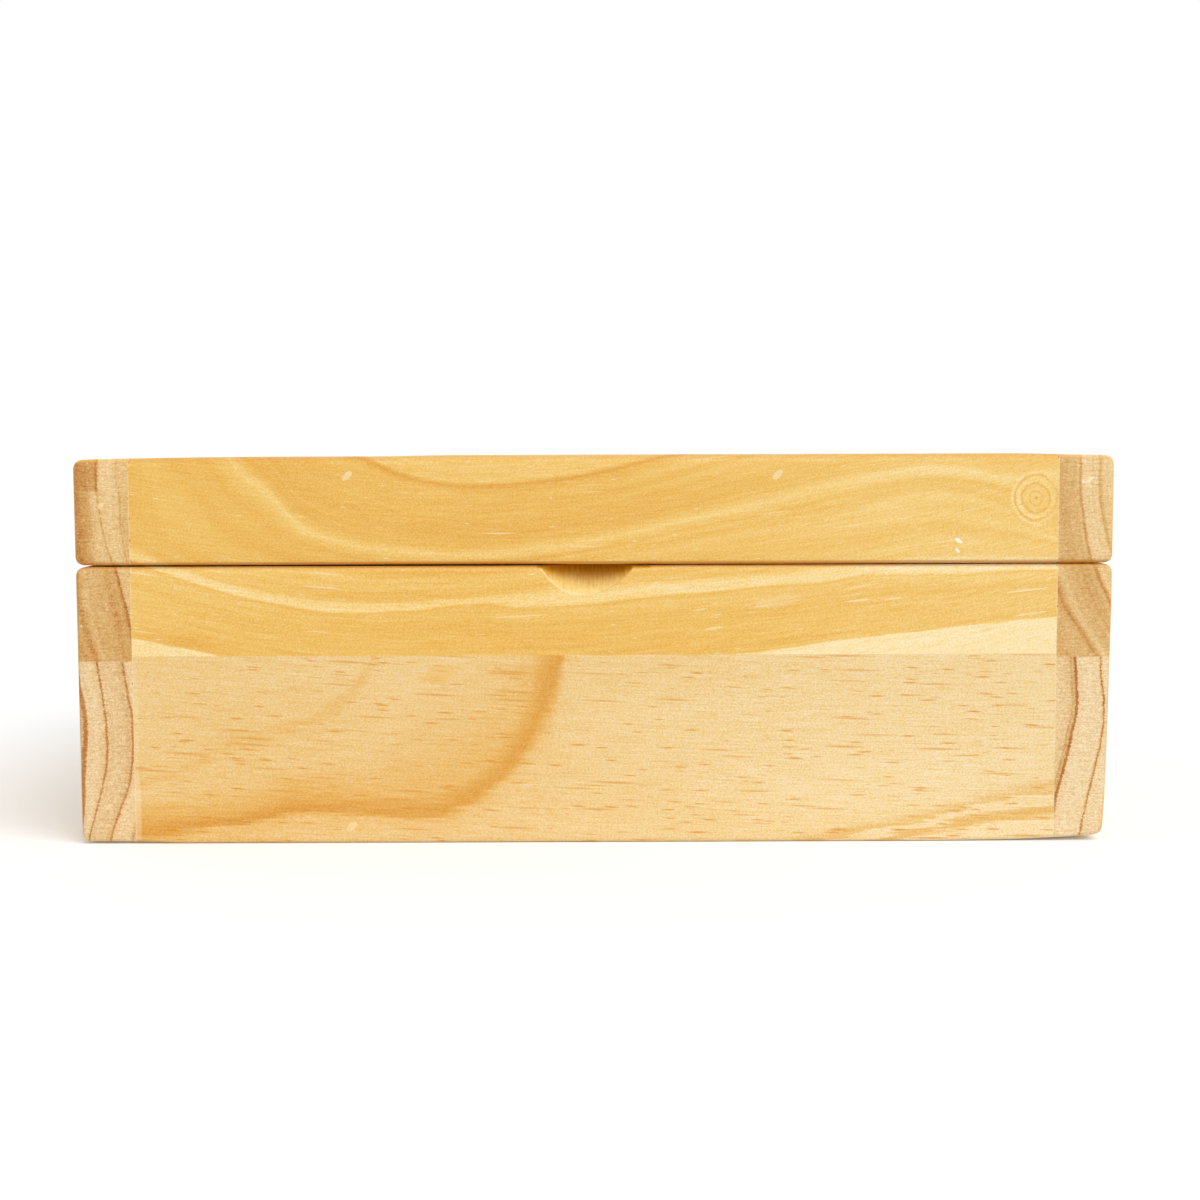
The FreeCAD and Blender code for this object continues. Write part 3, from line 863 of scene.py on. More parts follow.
LEFT_LOWER_RINGS = [
    (-8, 0.2), (-0.9, 0.3), (-0.4, 0.76), (0.6, 0.72), (0.95, 0.22), (4, 0.16), (6.5, 0.28),
    (6.8, 0.72), (7.15, 0.7), (7.4, 0.24), (11, 0.28), (13.5, 0.36), (13.8, 0.72), (14.2, 0.72),
    (14.45, 0.24), (19, 0.2), (20.5, 0.6), (20.9, 0.2), (26, 0.5), (26.4, 0.2),
]
SEAM_STRENGTH = 0.35


def seam(node):
    """The flat joint under a side wall's upper board, which hardly shows."""
    return (2, span(node, 2)[0], SEAM_STRENGTH)


def side_pine(name, guides, rings, palette, drift, seed, joints, marks=()):
    """Pine whose fibres run front to back."""
    return pine(name, 1, side_figure(guides, drift, seed), rings, palette, seed, joints, marks)


side_left = [(0, joint_left, 1.0)]
left_lid_top_pine = side_pine(
    "left_lid_top_pine", LEFT_LID_TOP_GUIDES, LEFT_LID_TOP_RINGS, GOLD, 0.03, 21.0,
    side_left + [seam("lid_left_upper_board")],
)
left_lid_pine = side_pine(
    "left_lid_pine", LEFT_LID_GUIDES, LEFT_LID_RINGS, GOLD, 0.05, 22.0, side_left,
)
left_body_pine = side_pine(
    "left_body_pine", LEFT_BODY_GUIDES, LEFT_BODY_RINGS, GOLD, 0.05, 23.0,
    side_left + [seam("body_left_upper_board")],
)
left_lower_pine = side_pine(
    "left_lower_pine", LEFT_LOWER_GUIDES, LEFT_LOWER_RINGS, CREAM, 0.05, 24.0, side_left,
)
print("left boards joined at", joint_left)

# %% Right side boards
RIGHT_LID_GUIDES = [
    (0.0, [(-160, 190), (78, 145), (82.4, 143.4), (87.1, 142.2), (92.2, 141.4), (96.5, 140.8),
           (102, 140.1), (111.2, 140.1)]),
    (6.0, [(-160, 199), (80, 151), (87.1, 148.5), (90, 147.9), (95.1, 146.8), (99.4, 146.1),
           (104.8, 145.8), (110.2, 145.9)]),
]
RIGHT_LID_RINGS = [
    (-22, 0.15), (-14, 0.4), (-13.5, 0.2), (-8, 0.42), (-4, 0.43), (-1, 0.33), (-0.35, 0.42),
    (0, 0.7), (0.35, 0.45), (0.7, 0.12), (3, 0.1), (5.2, 0.18), (5.8, 0.5), (6.3, 0.36),
    (7, 0.16), (10, 0.15), (14, 0.4), (14.4, 0.1),
]
RIGHT_BODY_GUIDES = [
    (0.0, [(-160, 195), (53, 146.5), (56.3, 144), (59.6, 142.1), (64.4, 138.8), (67.9, 136.5),
           (76.3, 133.4), (82, 131.5)]),
    (12.0, [(-160, 199), (53, 157), (60, 154), (68, 150), (72.2, 148.3), (74.8, 146.8),
            (79.2, 145.2), (84, 143)]),
]
RIGHT_BODY_RINGS = [
    (-16, 0.25), (-10, 0.48), (-6, 0.43), (-2, 0.4), (-0.8, 0.52), (0, 0.66), (0.8, 0.46),
    (1.5, 0.24), (2.6, 0.3), (5, 0.43), (11, 0.45), (11.6, 0.66), (12.1, 0.6), (12.8, 0.25),
    (16, 0.2),
]
RIGHT_LOWER_GUIDES = [
    (0.0, [(-160, 120), (0, 132.5), (5.2, 133.3), (12.6, 134.6), (21.5, 136.9), (31.1, 138.9),
           (38.4, 140.2), (43.5, 140.1), (53, 139.5)]),
    (8.0, [(-160, 124), (1.8, 141.9), (7.8, 142.9), (16.6, 144.9), (27.4, 147.2), (35.5, 148.2),
           (41.3, 148.1), (47.2, 147.3), (53, 147.0)]),
]
RIGHT_LOWER_RINGS = [
    (-20, 0.2), (-12, 0.5), (-11.5, 0.2), (-4, 0.22), (-1.7, 0.32), (-1.4, 0.56), (-1.1, 0.46),
    (-0.9, 0.36), (-0.5, 0.46), (-0.3, 0.8), (0.25, 0.8), (0.5, 0.12), (4, 0.08), (7.5, 0.16),
    (7.8, 0.68), (8.05, 0.66), (8.25, 0.08), (12, 0.12), (17, 0.5), (17.4, 0.1),
]
side_right = [(0, joint_right, 1.0)]
right_lid_pine = side_pine(
    "right_lid_pine", RIGHT_LID_GUIDES, RIGHT_LID_RINGS, GOLD, -0.05, 31.0,
    side_right + [seam("lid_right_upper_board")],
    marks=[((142.2, 104.7), (1.9, 0.75), 22, 1.3, 0.85, FRESH_WOOD_AND_HIGHLIGHT)],
)
right_body_pine = side_pine(
    "right_body_pine", RIGHT_BODY_GUIDES, RIGHT_BODY_RINGS, GOLD, -0.05, 32.0,
    side_right + [seam("body_right_upper_board")],
)
right_lower_pine = side_pine(
    "right_lower_pine", RIGHT_LOWER_GUIDES, RIGHT_LOWER_RINGS, CREAM, -0.05, 33.0, side_right,
)
print("right boards joined at", joint_right)

# %% [markdown]
# ## Back, top and bottom boards
#
# These are plain-sawn boards from the same stack. Each gets nested arches about its own heart
# line, and its rings repeat: pale, slowly darker, then a quick step back to pale.

# %% Boards with repeating rings
YEAR = [(0.0, 0.18), (0.35, 0.26), (0.7, 0.45), (0.88, 0.68), (0.94, 0.6), (1.0, 0.18)]


def plain_sawn(name, rise_axis, heart, width, taper, seed, palette, joints=()):
    """Pine with a flame figure; rise_axis is the one across the board's face."""
    def figure(x, y, z):
        place = (x, y, z)
        rise = place[rise_axis] + wander(place, 0, 2.2, seed)
        return arched(x, rise, heart, width, taper) + place[3 - rise_axis] * 0.12

    return pine(name, 0, figure, YEAR, palette, seed, joints, canals=SOME_CANALS, year=6.0)


top_joints = front_joints + [
    (1, span(node, 1)[end], 1.0)
    for node in ("lid_top_front_board", "lid_top_rear_board")
    for end in range(2)
]
PLAIN_SAWN = {
    "lid_top_front_board": (1, -90, 26, 120, 41, GOLD),
    "lid_top_middle_board": (1, -2, 20, 60, 42, CREAM),
    "lid_top_rear_board": (1, 88, 24, -90, 43, GOLD),
    "bottom_front_board": (1, -50, 22, 80, 44, GOLD),
    "bottom_middle_board": (1, 30, 24, -70, 45, CREAM),
    "bottom_rear_board": (1, 50, 26, 90, 46, GOLD),
    "body_back_lower_board": (2, 10, 20, -80, 47, CREAM),
    "body_back_upper_board": (2, 84, 22, 70, 48, GOLD),
}
board_pine = {
    "lid_front_board": front_upper_pine,
    "body_front_upper_board": front_upper_pine,
    "body_front_lower_board": front_lower_pine,
    "lid_left_upper_board": left_lid_top_pine,
    "lid_left_lower_board": left_lid_pine,
    "body_left_upper_board": left_body_pine,
    "body_left_lower_board": left_lower_pine,
    "lid_right_upper_board": right_lid_pine,
    "lid_right_lower_board": right_lid_pine,
    "body_right_upper_board": right_body_pine,
    "body_right_lower_board": right_lower_pine,
}
for node, figure in PLAIN_SAWN.items():
    joints = top_joints if figure[0] == 1 else front_joints
    board = node.removeprefix("lid_").removeprefix("body_").removesuffix("_board")
    board_pine[node] = plain_sawn(board + "_pine", *figure, joints)
board_pine["lid_back_board"] = board_pine["body_back_upper_board"]
print("pine for", len(board_pine), "boards")

# %% [markdown]
# ## Tools for every mesh
#
# The pieces are modelled with Blender's operators, which work on what is selected. These helpers
# pick a piece, choose its edges or faces, cut it and close it again.

# %% Pick, remove and copy pieces
def deselect():
    bpy.ops.object.select_all(action="DESELECT")


def pick(*pieces):
    """Selects these pieces alone; the first becomes the active one."""
    deselect()
    for piece in pieces:
        piece.select_set(True)
    bpy.context.view_layer.objects.active = pieces[0]


def remove(*pieces):
    pick(*pieces)
    bpy.ops.object.delete()


def duplicate(piece, name):
    pick(piece)
    bpy.ops.object.duplicate()
    copy = bpy.context.object
    copy.name = name
    return copy


def start_piece(name):
    """Names the new primitive, applies its transform and opens it for editing."""
    bpy.ops.object.transform_apply(location=True, rotation=True, scale=True)
    piece = bpy.context.object
    piece.name = name
    bpy.ops.object.mode_set(mode="EDIT")
    return piece


def coat(piece, material):
    piece.data.materials.clear()
    piece.data.materials.append(material)


# %% Choose, cut and close a mesh
SAME_PLACE = 0.001


def select_none(mesh):
    """In object mode, clears the selection of a mesh."""
    for part in (mesh.vertices, mesh.edges, mesh.polygons):
        for item in part:
            item.select = False


def select_edges(piece, chosen):
    """In edit mode, selects the edges whose two ends the test accepts."""
    bpy.ops.object.mode_set(mode="OBJECT")
    mesh = piece.data
    select_none(mesh)
    for edge in mesh.edges:
        ends = [mesh.vertices[i].co / MM for i in edge.vertices]
        edge.select = chosen(*ends)
    bpy.ops.object.mode_set(mode="EDIT")
    bpy.ops.mesh.select_mode(type="EDGE")


def select_faces(piece, chosen):
    """In edit mode, selects the faces that the test accepts, by centre and normal."""
    bpy.ops.object.mode_set(mode="OBJECT")
    select_none(piece.data)
    for face in piece.data.polygons:
        face.select = chosen(face.center / MM, face.normal)
    bpy.ops.object.mode_set(mode="EDIT")
    bpy.ops.mesh.select_mode(type="FACE")


def cut_across(axis, place, **options):
    """In edit mode, cuts the whole mesh at a place along an axis."""
    normal = [int(i == axis) for i in range(3)]
    bpy.ops.mesh.select_all(action="SELECT")
    bpy.ops.mesh.bisect(plane_co=mm(*[place * n for n in normal]), plane_no=normal, **options)


def extrude(*way):
    """In edit mode, pulls out what is selected, by so many millimetres along each axis."""
    bpy.ops.mesh.extrude_region_move(TRANSFORM_OT_translate={"value": mm(*way)})


def merge(distance=SAME_PLACE):
    bpy.ops.mesh.select_all(action="SELECT")
    bpy.ops.mesh.remove_doubles(threshold=distance * MM)


def close_mesh():
    """In edit mode, turns every face outward and goes back to object mode."""
    bpy.ops.mesh.select_all(action="SELECT")
    bpy.ops.mesh.normals_make_consistent(inside=False)
    bpy.ops.object.mode_set(mode="OBJECT")


def apply_modifier(piece, name, kind, **settings):
    modifier = piece.modifiers.new(name, kind)
    for key, value in settings.items():
        setattr(modifier, key, value)
    bpy.context.view_layer.objects.active = piece
    bpy.ops.object.modifier_apply(modifier=name)


def carve(piece, cutter, name):
    """Takes the cutter's shape out of the piece, and then the cutter away."""
    settings = {"object": cutter, "operation": "DIFFERENCE", "solver": "EXACT"}
    apply_modifier(piece, name, "BOOLEAN", **settings)
    remove(cutter)


print("meshes are cut in Blender", bpy.app.version_string)

# %% [markdown]
# ## Two sanded blocks
#
# The real box is glued up and then run past a belt sander as a whole, so its arrises are round
# all the way along and no joint stands proud. The pieces are made the same way. A block is drawn
# for the body and one for the lid, divided finely, and sunk where the belt dwelt: it always takes
# more near the ends. Its outer arrises are rounded, and its faces left a tenth of a millimetre
# uneven. Only then is it sliced into boards.

# %% Round and sand a block
CORNER_ROUND = 1.2
ROW_SPACING = 8.0
EDGE_MARGIN = 5.0
ON_ROW = EDGE_MARGIN / 2
UNEVENNESS = 0.12
SANDING_SIZE = 34.0


def slices(low, high):
    """Even places between two faces, none of them near the faces' arrises."""
    inner = high - low - 2 * EDGE_MARGIN
    count = math.ceil(inner / ROW_SPACING)
    return [low + EDGE_MARGIN + inner * i / count for i in range(count + 1)]


def sanding_texture(name):
    texture = bpy.data.textures.new(name, "CLOUDS")
    texture.noise_scale = SANDING_SIZE * MM
    texture.noise_depth = 1
    return texture


def between(pairs, place):
    """The value at a place: straight lines between the pairs, level beyond the last ones."""
    if not pairs:
        return 0.0
    place = min(max(place, pairs[0][0]), pairs[-1][0])
    for (low, first), (high, second) in zip(pairs, pairs[1:]):
        if low <= place <= high:
            return first + (second - first) * (place - low) / (high - low)


def sand_away(piece, face, rows, dip):
    """Sinks a face row by row. face is (axis, place, way in), rows (axis, places), dip pairs."""
    face_axis, face_place, way = face
    row_axis, places = rows
    for row in places:
        depth = between(dip, row)
        if depth == 0.0:
            continue
        bpy.ops.mesh.select_all(action="DESELECT")
        bpy.ops.object.mode_set(mode="OBJECT")
        for vertex in piece.data.vertices:
            place = vertex.co / MM
            on_row = abs(place[row_axis] - row) < ON_ROW
            vertex.select = on_row and abs(place[face_axis] - face_place) < ON_ROW
        bpy.ops.object.mode_set(mode="EDIT")
        shift = [0, 0, 0]
        shift[face_axis] = way * depth * MM
        bpy.ops.transform.translate(value=shift)


def sanded_block(name, low_z, high_z, rounds, dips):
    """rounds gives the radius of the arrises: low and high, at the ends and along the faces."""
    deselect()
    centre, size = (0, 0, (low_z + high_z) / 2), (right - left, back - front, high_z - low_z)
    bpy.ops.mesh.primitive_cube_add(size=1, location=mm(*centre), scale=mm(*size))
    piece = start_piece(name)
    widest = max(rounds.values())
    arrises = {
        "corner": lambda a, b: abs(a.z - b.z) > 1,
        "low_end": lambda a, b: abs(a.y - b.y) > 1 and a.z < low_z + 1,
        "high_end": lambda a, b: abs(a.y - b.y) > 1 and a.z > high_z - 1,
        "low_face": lambda a, b: abs(a.x - b.x) > 1 and a.z < low_z + 1,
        "high_face": lambda a, b: abs(a.x - b.x) > 1 and a.z > high_z - 1,
    }
    for arris, chosen in arrises.items():
        select_edges(piece, chosen)
        bpy.ops.transform.edge_bevelweight(value=rounds[arris] / widest)
    for axis, ends in enumerate([(left, right), (front, back), (low_z, high_z)]):
        for place in slices(*ends):
            cut_across(axis, place)
    bpy.ops.mesh.select_mode(type="VERT")
    columns = [left] + slices(left, right) + [right]
    courses = [low_z] + slices(low_z, high_z) + [high_z]
    sand_away(piece, (0, right, -1), (2, courses), dips["right"])
    sand_away(piece, (2, low_z, 1), (0, columns), dips["under"])
    sand_away(piece, (2, high_z, -1), (0, columns), dips["top"])
    bpy.ops.object.mode_set(mode="OBJECT")
    apply_modifier(piece, "round", "BEVEL", width=widest * MM, segments=5, limit_method="WEIGHT")
    apply_modifier(
        piece, "sand", "DISPLACE", texture=sanding_texture(name + "_sanding"),
        texture_coords="LOCAL", strength=UNEVENNESS * MM, mid_level=1.0,
    )
    return piece


print(len(slices(left, right)), "cuts along the front and", len(slices(front, back)), "along a side")

# %% The body's block and the lid's
body_rounds = {
    "corner": CORNER_ROUND, "low_end": 2.0, "high_end": 2.5, "low_face": 0.3, "high_face": 0.45,
}
lid_rounds = {
    "corner": CORNER_ROUND, "low_end": 2.5, "high_end": 1.8, "low_face": 0.45, "high_face": 1.2,
}
body_dips = {
    "right": [(0, 1.6), (14, 0.9), (40, 0.35), (70, 0.0)],
    "under": [(-150, 0.6), (-134, 0.5), (-122, 0.0), (100, 0.0), (120, 0.2), (134, 0.75),
              (143, 1.3), (150, 1.9)],
    "top": [],
}
lid_dips = {
    "right": [],
    "under": [(-16, 0.0), (16, -0.16), (150, -0.16)],
    "top": [(-150, 1.0), (-140, 0.7), (-110, 0.3), (-60, 0.25), (-40, 0.0), (125, 0.0), (140, 0.5),
            (150, 0.6)],
}
body_block = sanded_block("body_block", 0.0, body_rim, body_rounds, body_dips)
lid_block = sanded_block("lid_block", lid_rim, lid_top, lid_rounds, lid_dips)
print("blocks of", len(body_block.data.polygons), "and", len(lid_block.data.polygons), "faces")

# %% [markdown]
# ## Slicing the boards
#
# A board is a copy of its block, bisected along each side where another board begins, with the
# cut filled. A joint then closes without a step, and the rounding runs across it.

# %% Cut every board from its block
BOARD_SMOOTHING = 30.0
SAME_FACE = 1.0
SAME_CORNER = 0.002


def cut_board(block, block_low, block_high, node, name):
    """A copy of the block, cut down to the node's box."""
    piece = duplicate(block, name)
    bpy.ops.object.mode_set(mode="EDIT")
    for axis in range(3):
        low, high = span(node, axis)
        if low > block_low[axis] + SAME_FACE:
            cut_across(axis, low, use_fill=True, clear_inner=True)
        if high < block_high[axis] - SAME_FACE:
            cut_across(axis, high, use_fill=True, clear_outer=True)
    bpy.ops.object.mode_set(mode="OBJECT")
    return piece


def finish_board(piece, node, body):
    pick(piece)
    bpy.ops.object.mode_set(mode="EDIT")
    merge(SAME_CORNER)
    close_mesh()
    bpy.ops.object.shade_smooth_by_angle(angle=math.radians(BOARD_SMOOTHING))
    coat(piece, board_pine[node])
    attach(piece, body)
    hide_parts(node)


boards = {}
for node in board_pine:
    in_lid = node.startswith("lid")
    block = lid_block if in_lid else body_block
    low_z, high_z = (lid_rim, lid_top) if in_lid else (0.0, body_rim)
    low_corner, high_corner = (left, front, low_z), (right, back, high_z)
    boards[node] = cut_board(block, low_corner, high_corner, node, node + "_wood")
remove(body_block, lid_block)
print(len(boards), "boards cut")

# %% [markdown]
# ## The finger notch
#
# A drum sander leaned into the rim leaves a scoop: deepest at the face, running out on the rim.
# The tool here is the drum itself, taken away with a Boolean, and the notch's edge is then eased.

# %% Sand the notch
DRUM_RADIUS = 17.0
DRUM_LENGTH = 90.0
DRUM_SLOPE = 39.3
DRUM_TURN = -15.0
DRUM_PLACE = Vector((-0.1, front, body_rim + 13.5))
NOTCH_EASE = 0.3
NEAR_DRUM, NEAR_FACE = 0.05, 0.4

slope, turn = math.radians(DRUM_SLOPE), math.radians(DRUM_TURN)
along_drum = Vector((0, math.cos(slope), math.sin(slope)))
along_drum.rotate(Euler((0, 0, turn)))
deselect()
bpy.ops.mesh.primitive_cylinder_add(
    vertices=160, radius=DRUM_RADIUS * MM, depth=DRUM_LENGTH * MM, location=DRUM_PLACE * MM,
    rotation=(slope - math.pi / 2, 0, turn),
)
notched = boards["body_front_upper_board"]
carve(notched, bpy.context.object, "notch")


def on_notch(*ends):
    """True for an edge of the scoop's rim: on the drum, and on the face or the rim."""
    for end in ends:
        from_drum = end - DRUM_PLACE
        radius = (from_drum - along_drum * from_drum.dot(along_drum)).length
        on_surface = end.y < front + NEAR_FACE or end.z > body_rim - NEAR_FACE
        if abs(radius - DRUM_RADIUS) > NEAR_DRUM or not on_surface:
            return False
    return True


pick(notched)
bpy.ops.object.mode_set(mode="EDIT")
select_edges(notched, on_notch)
bpy.ops.mesh.bevel(offset=NOTCH_EASE * MM, segments=3, affect="EDGES")
bpy.ops.object.mode_set(mode="OBJECT")
print("notch cut, the board has", len(notched.data.polygons), "faces")

# %% Finish the boards
for node, piece in boards.items():
    finish_board(piece, node, "lid" if node.startswith("lid") else "box_body")
print("every board rides on its body")

# %% [markdown]
# ## Filler, steel and brass
#
# Filler dries chalky and a little uneven. Brass is brushed along the hinge and has dulled in
# patches; a metal shows the room, so its look comes from roughness as much as from colour.

# %% Filler and metal finishes
def filler_material():
    material = start_material("dried_filler")
    place = position()
    grit = cloud(place, [0.7] * 3, 3.0, 3.0)
    patches = cloud(place, [60.0, 30.0, 30.0], 4.0)
    tone = blend(patches + 0.5, FILLER_WARM, FILLER_PALE)
    return finish_material(material, shaded(tone, 1.0 - grit * 0.2), 0.85 + grit * 0.1, grit, 0.05)


def metal(name, colour, roughness, seed):
    material = start_material(name)
    place = position()
    brushed = cloud(place, [8.0, 0.4, 0.2], seed, 3.0)
    dull = fade(cloud(place, [6.0] * 3, seed + 5.0), -0.1, 0.25)
    tone = shaded(blend(dull * 0.35, colour, TARNISH), brushed * 0.3 + 1.0)
    rough = roughness + dull * 0.2 + brushed * 0.2
    return finish_material(material, tone, rough, brushed, 0.01, Metallic=1.0)


FILLER_WARM = paint(244, 209, 142)
FILLER_PALE = paint(250, 220, 164)
TARNISH = paint(150, 122, 84)
filler = filler_material()
steel = metal("brad_steel", paint(190, 190, 188), 0.35, 5.0)
hinge_brass = metal("hinge_brass", paint(226, 184, 104), 0.3, 6.0)
screw_brass = metal("screw_brass", paint(232, 192, 112), 0.28, 7.0)
for name, node in nodes.items():
    if name.endswith("brads"):
        coat(node, steel)
print("filler, steel and two brasses")

# %% [markdown]
# ## Filler over the brads
#
# A brad is set below the face and its dent filled. Sanding leaves a leaf-shaped patch, torn
# rather than cut, and no two alike. One flat oval is drawn, and each copy has its outline
# shaken before it gets its depth and a slight crown. The patches stand a hair proud, because
# filler wears more slowly than pine.

# %% Where the frame has its plugs
def solids_of(node):
    """Lowest and highest corner, in millimetres, of every separate solid in a CAD node."""
    copy = bpy.data.objects.new("solids", nodes[node].data.copy())
    bpy.context.scene.collection.objects.link(copy)
    pick(copy)
    bpy.ops.object.mode_set(mode="EDIT")
    merge()
    bpy.ops.mesh.separate(type="LOOSE")
    bpy.ops.object.mode_set(mode="OBJECT")
    corners = []
    for part in bpy.context.selected_objects:
        points = [vertex.co / MM for vertex in part.data.vertices]
        low = Vector([min(point[axis] for point in points) for axis in range(3)])
        high = Vector([max(point[axis] for point in points) for axis in range(3)])
        corners.append((low, high))
    bpy.ops.object.delete()
    return sorted(corners, key=lambda pair: tuple(pair[0]))


plug_places = {body: solids_of(f"{body}_filler_plugs") for body in ("body", "lid")}
print({body: len(places) for body, places in plug_places.items()}, "plugs")

# %% Shape the plugs
PLUG_LONG, PLUG_SHORT = 1.85, 0.95
PLUG_LEAN = 44.0
PLUG_DEPTH = 1.2
PLUG_CROWN = 0.05
PLUG_SINK = 0.01
PLUG_RIM = 0.3
PLUG_RAGGEDNESS = 0.16
PLUG_SMOOTHING = 50.0
END_GRAIN_SIZE = 0.62
TURNS = {(1, -1): 0.0, (0, 1): 90.0, (1, 1): 180.0, (0, -1): -90.0}

deselect()
bpy.ops.mesh.primitive_circle_add(vertices=16, radius=MM, fill_type="NGON")
plug_outline = bpy.context.object
plug_outline.scale = (PLUG_LONG, PLUG_SHORT, 1.0)
bpy.ops.object.transform_apply(location=False, rotation=False, scale=True)
plug_outline.rotation_euler.z = math.radians(PLUG_LEAN)
bpy.ops.object.transform_apply(location=False, rotation=True, scale=False)


def fill_dent(low, high, dips, name, seed):
    """A ragged plug in the face of the wall that the solid lies in, sunk where the face is."""
    middle, size = (low + high) / 2, high - low
    axis = 0 if size[0] < size[1] else 1
    way = 1 if middle[axis] > 0 else -1
    place = middle.copy()
    place[axis] = high[axis] if way > 0 else low[axis]
    place[axis] -= way * (PLUG_CROWN + PLUG_SINK)
    if (axis, way) == (0, 1):
        place.x -= between(dips["right"], middle.z)
    on_end_grain = axis == 1 and abs(middle.x) > joint_right
    plug = duplicate(plug_outline, name)
    bpy.ops.object.mode_set(mode="EDIT")
    bpy.ops.mesh.select_all(action="SELECT")
    raggedness = PLUG_RAGGEDNESS * MM
    bpy.ops.transform.vertex_random(offset=raggedness, uniform=0, normal=0, seed=seed)
    bpy.ops.transform.resize(value=(1, 1, 0), center_override=(0, 0, 0))
    bpy.ops.transform.translate(value=mm(0, 0, -PLUG_DEPTH))
    extrude(0, 0, PLUG_DEPTH)
    bpy.ops.mesh.inset(thickness=PLUG_RIM * MM, depth=PLUG_CROWN * MM)
    close_mesh()
    smaller = END_GRAIN_SIZE if on_end_grain else 1.0
    plug.scale = (smaller, smaller, 1.0)
    plug.rotation_euler = (math.radians(90), 0, math.radians(TURNS[axis, way]))
    plug.location = place * MM
    bpy.ops.object.transform_apply(location=True, rotation=True, scale=True)
    return plug


def fill_dents(part, body, dips, first_seed):
    plugs = []
    for i, (low, high) in enumerate(plug_places[part]):
        plugs.append(fill_dent(low, high, dips, f"{part}_filler", first_seed + i))
    pick(*plugs)
    bpy.ops.object.join()
    bpy.ops.object.shade_smooth_by_angle(angle=math.radians(PLUG_SMOOTHING))
    joined = bpy.context.object
    coat(joined, filler)
    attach(joined, body)
    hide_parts(f"{part}_filler_plugs")
    return joined


body_filler = fill_dents("body", "box_body", body_dips, 11)
lid_filler = fill_dents("lid", "lid", lid_dips, 61)
remove(plug_outline)
print(len(body_filler.data.polygons), "and", len(lid_filler.data.polygons), "faces of filler")

# %% [markdown]
# ## Butt hinges
#
# A cheap butt hinge is two stamped plates. Each has tabs that are rolled round the pin, the
# body's plate three and the lid's two, so they interlock. Here the plate is a flat box, its
# tabs are extruded to the pin's height, and the roll is a Spin about the pin. The hinges are
# modelled round x = 0 and copied to both ends of the box.

# %% Where the hinges go
PLATE_THICKNESS = 1.2
PLATE_CORNER = 1.5
PLATE_START = 0.4
TABS = 5
TAB_GAP = 0.2
ROLL_ANGLE = 296.0
ROLL_STEPS = 26
SOFT_EDGE = 0.15
SCREW_X = 11.0
SCREW_REACH = 9.35
HOLE_SMALL, HOLE_WIDE, HOLE_DEPTH = 1.3, 2.9, 1.5
CLOSE = 0.1
SQUARE_ON = 0.9

pin_y, pin_z = (sum(span("left_hinge_pin", axis)) / 2 for axis in (1, 2))
leaf_low, leaf_high = span("left_hinge_body_leaf", 0)
plate_length = leaf_high - leaf_low
plate_reach = pin_z - span("left_hinge_body_leaf", 2)[0]
knuckle_radius = pin_y - back
hinge_x = {"left": (leaf_low + leaf_high) / 2, "right": -(leaf_low + leaf_high) / 2}
print("plates", plate_length, "long, reaching", round(plate_reach, 2), "from the pin")


# %% Tools for the leaves
def tab_spans(first):
    """Ends along the pin of every second tab, from the first one."""
    pitch = plate_length / TABS
    start = -plate_length / 2
    return [
        (start + i * pitch + TAB_GAP / 2, start + (i + 1) * pitch - TAB_GAP / 2)
        for i in range(first, TABS, 2)
    ]


def drill(piece, x, z):
    """A countersunk hole through a plate, cut by a cone."""
    deselect()
    bpy.ops.mesh.primitive_cone_add(
        vertices=48, radius1=HOLE_SMALL * MM, radius2=HOLE_WIDE * MM, depth=HOLE_DEPTH * MM,
        location=mm(x, back + PLATE_THICKNESS / 2, z), rotation=(math.radians(-90), 0, 0),
    )
    carve(piece, bpy.context.object, "countersink")


print("the body's leaf has", len(tab_spans(0)), "tabs, the lid's", len(tab_spans(1)))


# %% Model a leaf
def leaf(name, way, tabs):
    """One leaf round x = 0, way being -1 for the body's and 1 for the lid's."""
    near, far = knuckle_radius + PLATE_START, plate_reach
    deselect()
    bpy.ops.mesh.primitive_cube_add(
        size=1, location=mm(0, back + PLATE_THICKNESS / 2, pin_z + way * (near + far) / 2),
        scale=mm(plate_length, PLATE_THICKNESS, far - near),
    )
    piece = start_piece(name)
    near_z, outer_z = pin_z + way * near, pin_z + way * far

    def at_outer_corner(a, b):
        return abs(a.x - b.x) + abs(a.z - b.z) < CLOSE and abs(a.z - outer_z) < CLOSE

    select_edges(piece, at_outer_corner)
    bpy.ops.mesh.bevel(offset=PLATE_CORNER * MM, segments=6, affect="EDGES")
    for ends in tabs:
        for x in ends:
            cut_across(0, x)

    def on_tab(centre, normal):
        inside = any(low < centre.x < high for low, high in tabs)
        return inside and abs(centre.z - near_z) < CLOSE and abs(normal.z) > SQUARE_ON

    select_faces(piece, on_tab)
    extrude(0, 0, -way * near)
    bpy.ops.mesh.spin(
        steps=ROLL_STEPS, angle=math.radians(ROLL_ANGLE), center=mm(0, pin_y, pin_z),
        axis=(-way, 0, 0),
    )
    merge()
    close_mesh()
    apply_modifier(
        piece, "soften", "BEVEL", width=SOFT_EDGE * MM, segments=2, limit_method="ANGLE",
        angle_limit=math.radians(40),
    )
    for x in (-SCREW_X, SCREW_X):
        drill(piece, x, pin_z + way * SCREW_REACH)
    return piece


body_leaf = leaf("body_leaf_pattern", -1, tab_spans(0))
lid_leaf = leaf("lid_leaf_pattern", 1, tab_spans(1))
print("a leaf has", len(body_leaf.data.polygons), "faces")

